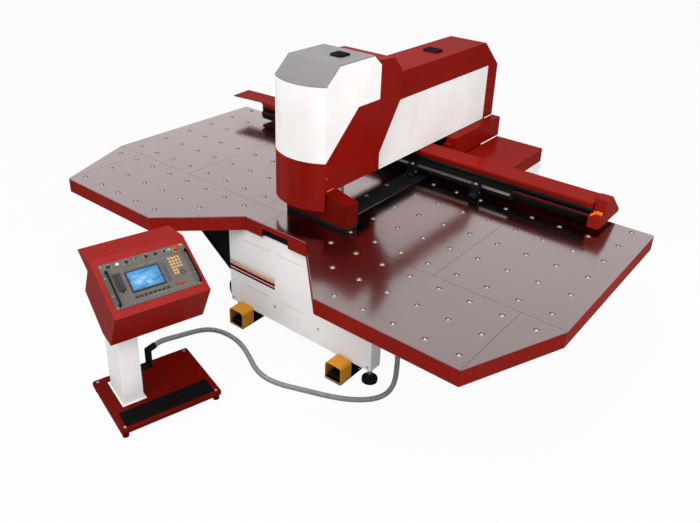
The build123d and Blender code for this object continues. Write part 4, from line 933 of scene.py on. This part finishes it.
class PRESS_OT_head(bpy.types.Operator):
    """Vents, marks and fasteners of the head and the arm"""

    bl_idname = "press.head"
    bl_label = "Head and arm"

    # Corners of the covers' edges, as places back from the front and heights over the table
    white_low = ((248, 442), (569, 742), (800, 742))
    white_high = ((241, 938), (370, 1047), (718, 1047), (800, 977))
    red_low = ((251.6, 105), (252.4, 225))
    grey_side = (
        (240, 945), (366, 1055), (715, 1055), (800, 985), (800, 977), (718, 1047), (370, 1047), (241, 938),
    )
    rear_louvre = ((0, 0), (0, 16), (-0.8, 16), (-5, 3), (-5, 0))

    def vent(self, shape, spot, width, depth):
        """Air vent: a plate with cut corners, two cheeks and a row of slanted blades."""
        (x, y, z), cut, rise = spot, 12, 13.8
        plate = [(x + i * (width / 2 - a), y + j * (depth / 2 - b)) for i, j, a, b in (
            (-1, -1, 0, cut), (-1, -1, cut, 0), (1, -1, cut, 0), (1, -1, 0, cut),
            (1, 1, 0, cut), (1, 1, cut, 0), (-1, 1, cut, 0), (-1, 1, 0, cut),
        )]
        shape.prism("z", plate, z, z + 5)
        front, rear = y - depth / 2 + 13, y + depth / 2 - 13
        for side in (-1, 1):
            cheek = x + side * (width / 2 - 6)
            shape.box(cheek - 3, cheek + 3, front, rear, z + 5, z + rise)
        gaps = int((depth - 28) / 12)
        for k in range(gaps + 1):
            s = front + k * (rear - front) / gaps
            blade = ((s - 4.5, z + 5.5), (s - 3, z + 5.5), (s + 4.5, z + rise), (s + 3, z + rise))
            shape.prism("x", blade, x - width / 2 + 9, x + width / 2 - 9)

    def bow(self, inset):
        """Plan of the head's bowed front, from its left side to its right side."""
        half, side, nose = HEAD_HALF - inset, HEAD_SIDE + inset, HEAD_NOSE + inset
        rise = side - nose
        radius = (half ** 2 + rise ** 2) / (2 * rise)
        span = math.asin(half / radius)
        turns = [span * (k / 18 - 1) for k in range(37)]
        return [(radius * math.sin(t), nose + radius * (1 - math.cos(t))) for t in turns]

    def height(self, points, y):
        """Height at y of an edge given by its corners."""
        if y <= points[0][0]:
            return points[0][1]
        for (a, low), (b, high) in zip(points, points[1:]):
            if y <= b:
                return low + (high - low) * (y - a) / (b - a)
        return points[-1][1]

    def wall(self, shape, sides, low, high):
        """Sheet bent round the front of the head, between a lower and an upper edge."""
        paths = []
        for inset in (0, HEAD_SHEET):
            half = HEAD_HALF - inset
            paths.append([(-half, y) for y in sides] + self.bow(inset) + [(half, y) for y in sides[::-1]])
        rings = []
        for (x, y), (u, v) in zip(*paths):
            foot, top = TABLE_TOP + self.height(low, y), TABLE_TOP + self.height(high, y)
            rings.append([(x, y, foot), (x, y, top), (u, v, top), (u, v, foot)])
        shape.loft(rings)

    def covers(self, edge):
        """The head's three covers, with a smooth bow."""
        white, red, grey = Shape(), Shape(), Shape()
        self.wall(white, (HEAD_BACK, 718, 569, 370, 248, 241), self.white_low, self.white_high)
        self.wall(red, (HEAD_BACK, 569, 252.4, 251.6, 248), self.red_low, self.white_low)
        rear_corners = [(HEAD_HALF, HEAD_SIDE + 10), (-HEAD_HALF, HEAD_SIDE + 10)]
        grey.prism("z", self.bow(0) + rear_corners, TABLE_TOP + 938, TABLE_TOP + 945)
        grey.prism("x", [(y, TABLE_TOP + h) for y, h in self.grey_side], -HEAD_HALF, HEAD_HALF)
        for shape, tone, node in (
            (white, "white", "head_front_cover"),
            (red, "red", "head_lower_cover"),
            (grey, "grey", "head_top_cover"),
        ):
            skin = shape.piece("head_" + tone, tone, bevel=edge, smooth=0.4)
            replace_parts(skin, node)

    def execute(self, context):
        self.covers(millimetres(context.scene.press_sizes.edge))
        vents = Shape()
        self.vent(vents, (57, 555, TABLE_TOP + 1055), 100, 110)
        self.vent(vents, (0, 1770, TABLE_TOP + ARM_TOP), 130, 110)
        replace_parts(vents.piece("vents_skin", "black", bevel=0.5), "top_vents")
        mark = Shape().box(HEAD_HALF, HEAD_HALF + 0.8, 265, 336, TABLE_TOP + 240, TABLE_TOP + 246)
        mark.piece("side_mark", "orange")
        screws, studs = Shape(), Shape()
        for side in (-1, 1):
            self.screw(screws, side, HEAD_HALF, 262, TABLE_TOP + 330)
            for y, h in ((905, 215), (905, 300), (1640, 215), (2370, 215), (2370, 635), (1125, 635)):
                self.screw(screws, side, ARM_SIDE, y, TABLE_TOP + h)
            for y, h in ((780, 250), (780, 420), (780, 720), (262, 130)):
                self.screw(studs, side, HEAD_HALF, y, TABLE_TOP + h)
        screws.piece("cover_screws", "dull")
        studs.piece("cover_studs", "red")
        # The rear louvres take the darkest copy of the red, painted shade between the blades
        louvres = Shape()
        for k in range(7):
            blade = [(ARM_REAR + out, TABLE_TOP + 300 + k * 26 + h) for out, h in self.rear_louvre]
            louvres.prism("x", blade, -95, 95)
        louvres.piece("rear_louvres", "dark_red")
        return {"FINISHED"}

    def screw(self, shape, side, face, y, z):
        """Round screw head with a socket, on a side face of the head or the arm."""
        steps = ((-0.5, 5.2), (0.8, 5.2), (1.7, 4.2), (1.7, 2.2), (0.8, 2.2))
        shape.turned("x", (y, z), [(side * (face + out), radius) for out, radius in steps], 14)


class PRESS_OT_beam(bpy.types.Operator):
    """Strips, bolts and stop of the gauge beam, and fittings of its carriage and clamps"""

    bl_idname = "press.beam"
    bl_label = "Gauge beam"

    # Profiles of fasteners, as places out from their face and radii
    bolt = ((0, 7), (-3.5, 7), (-4.5, 6), (-4.5, 3.4), (-2.5, 3.4))
    stud = ((0.5, 6), (-3, 6), (-4, 5), (-4, 2.8), (-2, 2.8))
    nut = ((105, 13), (109, 13), (110.5, 11.5), (110.5, 5), (107, 5))
    pin_end = ((31, 9), (33.5, 9), (34.3, 8))

    def execute(self, context):
        self.beam()
        self.carriage()
        for name, x in CLAMPS:
            self.clamp(name, x)
        return {"FINISHED"}

    def beam(self):
        """Lip, dark strips, rail edge and bolts of the beam, and the stop at its right end."""
        z, left = TABLE_TOP, BEAM_LEFT + 2
        lip = Shape().box(BEAM_LEFT, BEAM_RIGHT, BEAM_FRONT - 15, BEAM_FRONT - 12, z + 166, z + 184)
        lip.piece("beam_lip", "red", "beam", bevel=1)
        dark = Shape()
        for low, high in ((31, 59.5), (100.5, 140)):
            dark.box(left, BEAM_RIGHT - 2, BEAM_FRONT - 1.4, BEAM_FRONT, z + low, z + high)
        dark.box(left, BEAM_RIGHT - 5, RAIL_FRONT - 1, RAIL_FRONT, z + 60.5, z + 99.5)
        dark.box(left, BEAM_RIGHT - 5, RAIL_FRONT + 8, BEAM_FRONT - 1, z + 100, z + 101.4)
        dark.piece("beam_shadow_strips", "black", "beam")
        # The rail edge takes the darkest copy of the red, painted shade under the beam's lip
        rail = Shape().box(left, BEAM_RIGHT - 5, RAIL_FRONT - 2, RAIL_FRONT - 0.8, z + 92, z + 98)
        rail.piece("beam_rail_edge", "dark_red", "beam", bevel=0.4)
        bolts = Shape()
        for k in range(13):
            bolts.turned("y", (-1440 + k * 240, z + 142), [(BEAM_FRONT + out, r) for out, r in self.bolt], 16)
        bolts.piece("beam_bolts", "cast", "beam")
        tip = Shape()
        tip.box(1572, 1614, 1420, 1436, z + 110, z + 128)
        tip.prism("z", [(1551, 1372), (1557, 1372), (1574, 1420), (1566, 1420)], z + 110, z + 119)
        tip.turned("z", (1560, 1432), [(z + 110, 7), (z + 118, 7), (z + 121, 4)], 20)
        tip.piece("cap_stop", "orange", "beam", bevel=1.5)

    def carriage(self):
        """End plates and two bolts of the carriage, clear of the clamps' travel."""
        ends = Shape()
        for x in (CARRIAGE_LEFT - 8, CARRIAGE_RIGHT):
            ends.box(x, x + 8, CARRIAGE_FRONT + 1, CARRIAGE_FRONT + 26, TABLE_TOP + 48, TABLE_TOP + 108)
        for x in (434, 470):
            ends.turned("y", (x, TABLE_TOP + 100), [(CARRIAGE_FRONT + out, r) for out, r in self.stud], 14)
        ends.piece("carriage_ends", "cast", "carriage", bevel=0.6)

    def clamp(self, name, x):
        """Nut, pin ends and top plate of a clamp."""
        fittings = Shape()
        fittings.turned("z", (x, 1322), [(TABLE_TOP + h, r) for h, r in self.nut], 6)
        for side in (-1, 1):
            fittings.turned("x", (1326, TABLE_TOP + 42), [(x + side * out, r) for out, r in self.pin_end], 20)
        fittings.piece(name + "_fittings", "dull", name, smooth=0.5)
        plate = Shape().box(x - 20, x + 20, 1300, 1318, TABLE_TOP + 106, TABLE_TOP + 107.2)
        plate.piece(name + "_plate", "dull", name)


class PRESS_OT_base(bpy.types.Operator):
    """Stripes, bolts and seams of the front base, and nuts of the machine's feet"""

    bl_idname = "press.base"
    bl_label = "Front base"

    bolt = ((0.5, 9), (-3.5, 9), (-4.7, 8), (-4.7, 4.6), (-2, 4.6))

    def execute(self, context):
        z = TABLE_TOP
        for name, tone, rows in (
            ("grey", "grey_plastic", ((-390, -393),)),
            ("pale", "pale_orange", ((-403, -420),)),
            ("dark", "deep_red", ((-427, -432), (-468, -485))),
            ("red", "red", ((-437, -462),)),
        ):
            lines = Shape()
            for top, low in rows:
                lines.box(BASE_LEFT, -18, BASE_FRONT - 0.6, BASE_FRONT + 0.2, z + low, z + top)
            lines.piece("stripe_" + name, tone)
        bolts = Shape()
        for x, h in ((-18, -618), (371, -620), (-430, -150), (785, -150), (-430, -715), (785, -715)):
            bolts.turned("y", (x, z + h), [(BASE_FRONT + out, r) for out, r in self.bolt], 6)
        bolts.piece("base_bolts", "steel", smooth=0.4)
        nuts = Shape()
        for x, y, top in ((-420, 60, 108), (775, 60, 108), (-90, 2325, 150), (90, 2325, 150)):
            nuts.turned("z", (x, y), [(top - 16, 24), (top - 15, 26), (top - 3, 26), (top - 2, 24)], 6)
            nuts.turned("z", (x, y), [(top - 2, 33), (top, 33)], 28)
            for k in range(8):
                nuts.ring("z", (x, y), 50 + k * 5, 52 + k * 5, 13, 15.2, 20)
        nuts.piece("foot_nuts", "steel", slot="black_metal", smooth=0.4)
        seams = Shape()
        for x0, x1 in ((-300, -60), (0, 240)):
            for h in (-560, -200):
                seams.box(x0, x1, BASE_FRONT - 0.8, BASE_FRONT + 0.1, z + h - 0.5, z + h + 0.5)
        seams.piece("base_seams", "grey")
        return {"FINISHED"}


class PRESS_OT_console(bpy.types.Operator):
    """Display, keys, fittings of the controls and of the stand of the console"""

    bl_idname = "press.console"
    bl_label = "Console"

    display = (-149, 25, 128, 247)
    arrow = ((0, 7), (6, -4), (-6, -4))
    button_ring = ((8.5, 6.1), (8.5, 7.0), (10.2, 7.0), (12.2, 5.4), (12.6, 3))
    key_ring = ((10.5, 3), (10.5, 4.6), (12.8, 4.6), (13.5, 3))

    def execute(self, context):
        self.screen()
        self.keys()
        self.controls()
        self.stand()
        return {"FINISHED"}

    def cap(self, shape, x, u, high, half, tall):
        """Cap of a key on the panel, its top edges eased."""
        ease = 1.2
        shape.loft([
            [(a, b, h) for a, b in corners(x - half + e, x + half - e, u - tall + e, u + tall - e)]
            for h, e in ((PANEL_FACE, 0), (high - ease, 0), (high, ease))
        ])

    def screen(self):
        """Display in its rim, and the slit of the disk drive."""
        glass = Shape(on_panel).box(*self.display, 6, 6.6)
        glass.piece("display_glass", "screen")
        rim = Shape(on_panel).border(*self.display, 8, 6.8, 8.6)
        rim.piece("display_rim", "plastic", bevel=0.6)
        slit = Shape(on_panel)
        slit.box(-206.5, -202.5, 160, 250, 5.2, 6.2)
        slit.box(-216, -185, 152, 156, 8, 8.6)
        slit.turned("z", (-200.5, 140), [(PANEL_FACE, 5), (6, 5), (6.6, 4)], 16)
        slit.piece("drive_slit", "black", slot="black_plastic")

    def keys(self):
        """Keys under and beside the display, number pad, arrows, two red keys and the line round them all."""
        soft = Shape(on_panel)
        for k in range(8):
            self.cap(soft, -146 + k * 25, 90, 6.4, 8.5, 6.5)
        soft.piece("screen_keys", "plastic", smooth=0.5)
        column = Shape(on_panel)
        for k in range(6):
            self.cap(column, 57, 134 + k * 21, 6.2, 9, 7.5)
        column.piece("side_keys", "blue_plastic", smooth=0.5)
        pad = Shape(on_panel)
        for i in range(4):
            for j in range(0 if i < 2 else 2, 6):
                self.cap(pad, 100 + i * 17.5, 160 + j * 20, 6, 7, 7.6)
        pad.piece("key_pad", "cream", smooth=0.5)
        arrows = Shape(on_panel)
        for quarter in (0, 2, 1, 3):
            c, s = math.cos(quarter * math.pi / 2), math.sin(quarter * math.pi / 2)
            outline = [(142 + p * c + (q + 13) * s, 156 - p * s + (q + 13) * c) for p, q in self.arrow]
            arrows.prism("z", outline, PANEL_FACE, 6)
        arrows.piece("arrow_keys", "plastic", smooth=0)
        signal = Shape(on_panel)
        for spot in ((85, 94), (111, 93)):
            signal.turned("z", spot, [(PANEL_FACE, 8), (8, 8), (9.5, 6.5), (10, 3)], 20)
        signal.piece("signal_keys", "red_plastic")
        line = Shape(on_panel)
        for u in (275, 74):
            line.box(-164, 168, u, u + 1.2, PANEL_FACE, 3.4)
        for x in (-165, 168):
            line.box(x, x + 1, 74, 276.2, PANEL_FACE, 3.4)
        line.piece("panel_line", "grey_plastic")

    def controls(self):
        """Marks, skirts and dial dots of the knobs, rings of the buttons, cap of the stop, and screws."""
        dial, dial_radius = Shape(on_panel), 19
        for name, x in KNOBS:
            mark = Shape(on_panel).box(x - 0.8, x + 0.8, CONTROL_ROW + 2, CONTROL_ROW + 9.8, 17.6, 18.6)
            mark.piece(name + "_mark", "white_plastic", name)
            skirt = Shape(on_panel)
            skirt.turned("z", (x, CONTROL_ROW), [(3.4, 13.4), (5.6, 13.4), (6.4, 12.4)], 32)
            skirt.piece(name + "_skirt", "dull", name)
            for k in range(11):
                a = math.radians(-60 + 30 * k)
                dot = x + dial_radius * math.cos(a), CONTROL_ROW + dial_radius * math.sin(a)
                dial.turned("z", dot, [(PANEL_FACE, 1.1), (3.3, 1.1)], 8)
        dial.piece("dial_dots", "white_plastic", smooth=0)
        rings = Shape(on_panel)
        for x in BUTTONS:
            rings.turned_ring("z", (x, CONTROL_ROW), self.button_ring, 0, 28)
        rings.turned_ring("z", (KEY_X, CONTROL_ROW), self.key_ring, 0, 28)
        rings.piece("control_rings", "dull")
        collar = Shape(on_panel).ring("z", STOP, 5, 5.8, 12, 20.5, 32)
        collar.piece("stop_disc", "yellow")
        dome = Shape(on_panel).turned("z", STOP, [(21.5, 16.5), (23.2, 15), (24.6, 11), (25.2, 5)], 28)
        dome.piece("stop_dome", "red_plastic", "stop")
        screws = Shape(on_panel)
        for x in (-259, 202.5):
            for u in (60, 136, 251, 328):
                screws.turned("z", (x, u), [(PANEL_FACE, 5), (4.4, 5), (5.2, 4), (5.2, 2), (4.2, 2)], 14)
        screws.box(191, 205, 324, 336, PANEL_FACE, 4.2)
        screws.piece("rack_screws", "dull")

    def stand(self):
        """Ribs of the tread strip, bolts of the foot plate and flange of the column."""
        z = STAND_TOP
        ribs = Shape(on_console)
        for k in range(12):
            y = -227 + k * 10.6
            ribs.prism("x", [(y, z + 2), (y + 6, z + 2), (y + 4.8, z + 5), (y + 1.2, z + 5)], -275, 275)
        ribs.piece("tread_ribs", "tread", smooth=0)
        bolts = Shape(on_console)
        for x in (-285, 285):
            for y in (-232, 232):
                bolts.turned("z", (x, y), [(z, 9), (z + 4, 9), (z + 5, 8), (z + 5, 4), (z + 2, 4)], 6)
        bolts.piece("stand_bolts", "steel", smooth=0.4)
        flange = Shape(on_console)
        for y in (-66, 184):
            flange.box(-236, -88, y, y + 10, z, z + 6)
        for x in (-236, -100):
            flange.box(x, x + 12, -56, 184, z, z + 6)
        flange.piece("column_foot", "white", bevel=1)


class PRESS_OT_pedals(bpy.types.Operator):
    """Ribs, screws, lips and cable glands of the foot pedals"""

    bl_idname = "press.pedals"
    bl_label = "Pedals"

    plate_screw = ((8, 6), (12, 6), (13, 5), (13, 2.6), (11, 2.6))
    hood_screw = ((61.5, 5), (64, 5), (64.8, 4), (64.8, 2), (63.4, 2))
    slope = 0.047

    def execute(self, context):
        screws, lips, glands = Shape(), Shape(), Shape()
        for body, x, y in PEDALS:
            ribs = Shape()
            for k in range(8):
                s = y + 20 + k * 8.6
                low = 42 + (s - y - 14) * self.slope
                rib = ((s, low - 1), (s + 4.5, low - 1), (s + 3.6, low + 2.2), (s + 0.9, low + 2.2))
                ribs.prism("x", rib, x - 44, x + 44)
            ribs.piece(body + "_ribs", "tread", body, "treadle_rubber", smooth=0)
            for side in (-1, 1):
                screws.turned("z", (x + side * 60, y + 205), self.plate_screw, 12)
                screws.turned("x", (y + 92, 40), [(x + side * 55.5, 8), (x + side * 57.8, 8)], 16)
                screws.turned("z", (x + side * 40, y + 128), self.hood_screw, 12)
            lips.box(x - 65.5, x + 65.5, y - 0.3, y + 3, 8, 12)
            lips.box(x - 57.5, x + 57.5, y + 223, y + 226.2, 20, 24)
        screws.piece("pedal_screws", "bright")
        lips.piece("pedal_lips", "yellow", bevel=0.5)
        glands.turned("x", (98, 38), [(-353, 13), (-362, 13), (-364, 11.5), (-376, 11.5), (-378, 9.5)], 20)
        glands.turned("x", (65, 222), [(-467, 14), (-476, 14), (-478, 12), (-486, 12), (-488, 9.5)], 20)
        glands.piece("cable_glands", "plastic", slot="black_metal")
        return {"FINISHED"}


class PRESS_OT_cabinet(bpy.types.Operator):
    """Band, louvres and lock of the rear cabinet, and the junction box's lid"""

    bl_idname = "press.cabinet"
    bl_label = "Cabinet"

    side_louvre = ((0, 0), (4.5, 2), (4.5, 4), (0, 14))
    door_louvre = ((0, 0), (4, 2), (4, 4), (0, 12))
    lock_plate = ((0.1, 19), (1.4, 19), (1.8, 18))
    seal_bars = ((266, 268, 66, 858), (674, 676, 66, 858), (266, 676, 64, 66), (266, 676, 856, 858))

    def execute(self, context):
        left, right, front, rear = CABINET_LEFT, CABINET_RIGHT, CABINET_FRONT - 1, CABINET_REAR
        top = TABLE_TOP + 16
        low = top - 115
        band = Shape()
        band.box(left - 1.5, left, front, rear, low, top)
        band.box(right, right + 1.5, front, rear, low, top)
        band.box(left, right, CABINET_FRONT - 1.5, CABINET_FRONT, low, top)
        band.box(left, right, front, rear, top, top + 1.2)
        band.piece("cabinet_band", "red", bevel=0.4)
        slots, grille = Shape(), Shape()
        for k in range(8):
            louvre = [(right + out, 420 + k * 22 + h) for out, h in self.side_louvre]
            for y in (2100, 2330):
                slots.prism("y", louvre, y - 70, y + 70)
            louvre = [(DOOR_FACE + out, 200 + k * 20 + h) for out, h in self.door_louvre]
            grille.prism("x", louvre, 400, 620)
        slots.piece("cabinet_louvres", "white")
        grille.piece("door_louvres", "white", "door")
        seal = Shape()
        for x0, x1, z0, z1 in self.seal_bars:
            seal.box(x0, x1, DOOR_FACE - 0.4, DOOR_FACE + 0.2, z0, z1)
        seal.piece("door_seal", "black", "door")
        plate = Shape().turned("y", (302, 461), [(DOOR_FACE + out, r) for out, r in self.lock_plate], 28)
        plate.piece("lock_plate", "steel", "door")
        lid = Shape().box(889, 1011, 60.6, 62, 424, BEARER_LOW - 6)
        lid.piece("junction_lid", "white", bevel=0.6)
        screws = Shape()
        for x in (897, 1003):
            for h in (434, 730):
                screws.turned("y", (x, h), [(60.8, 5), (59.6, 5), (59, 4), (59, 2), (60, 2)], 12)
        screws.piece("lid_screws", "bright")
        return {"FINISHED"}


class PRESS_PT_panel(bpy.types.Panel):
    """Buttons for every piece, in the 3D view's sidebar"""

    bl_idname = "PRESS_PT_panel"
    bl_label = "Punch press"
    bl_space_type = "VIEW_3D"
    bl_region_type = "UI"
    bl_category = "Press"

    def draw(self, context):
        for group in (context.scene.press_tones, context.scene.press_sizes):
            for name in group.bl_rna.properties.keys():
                if name not in ("rna_type", "name"):
                    self.layout.prop(group, name)
        for step in steps:
            self.layout.operator(step.bl_idname)


steps = (
    PRESS_OT_stage,
    PRESS_OT_cords,
    PRESS_OT_finishes,
    PRESS_OT_table,
    PRESS_OT_head,
    PRESS_OT_beam,
    PRESS_OT_base,
    PRESS_OT_console,
    PRESS_OT_pedals,
    PRESS_OT_cabinet,
)
classes = (PressTones, PressSizes) + steps + (PRESS_PT_panel,)


def register():
    for one in classes:
        bpy.utils.register_class(one)
    bpy.types.Scene.press_tones = PointerProperty(type=PressTones)
    bpy.types.Scene.press_sizes = PointerProperty(type=PressSizes)


def unregister():
    del bpy.types.Scene.press_sizes
    del bpy.types.Scene.press_tones
    for one in reversed(classes):
        bpy.utils.unregister_class(one)


def main():
    register()
    mix_paints(bpy.context.scene.press_tones)
    for step in steps:
        group, name = step.bl_idname.split(".")
        if getattr(getattr(bpy.ops, group), name)() != {"FINISHED"}:
            raise RuntimeError(step.bl_label + " did not finish")


if __name__ == "__main__":
    main()
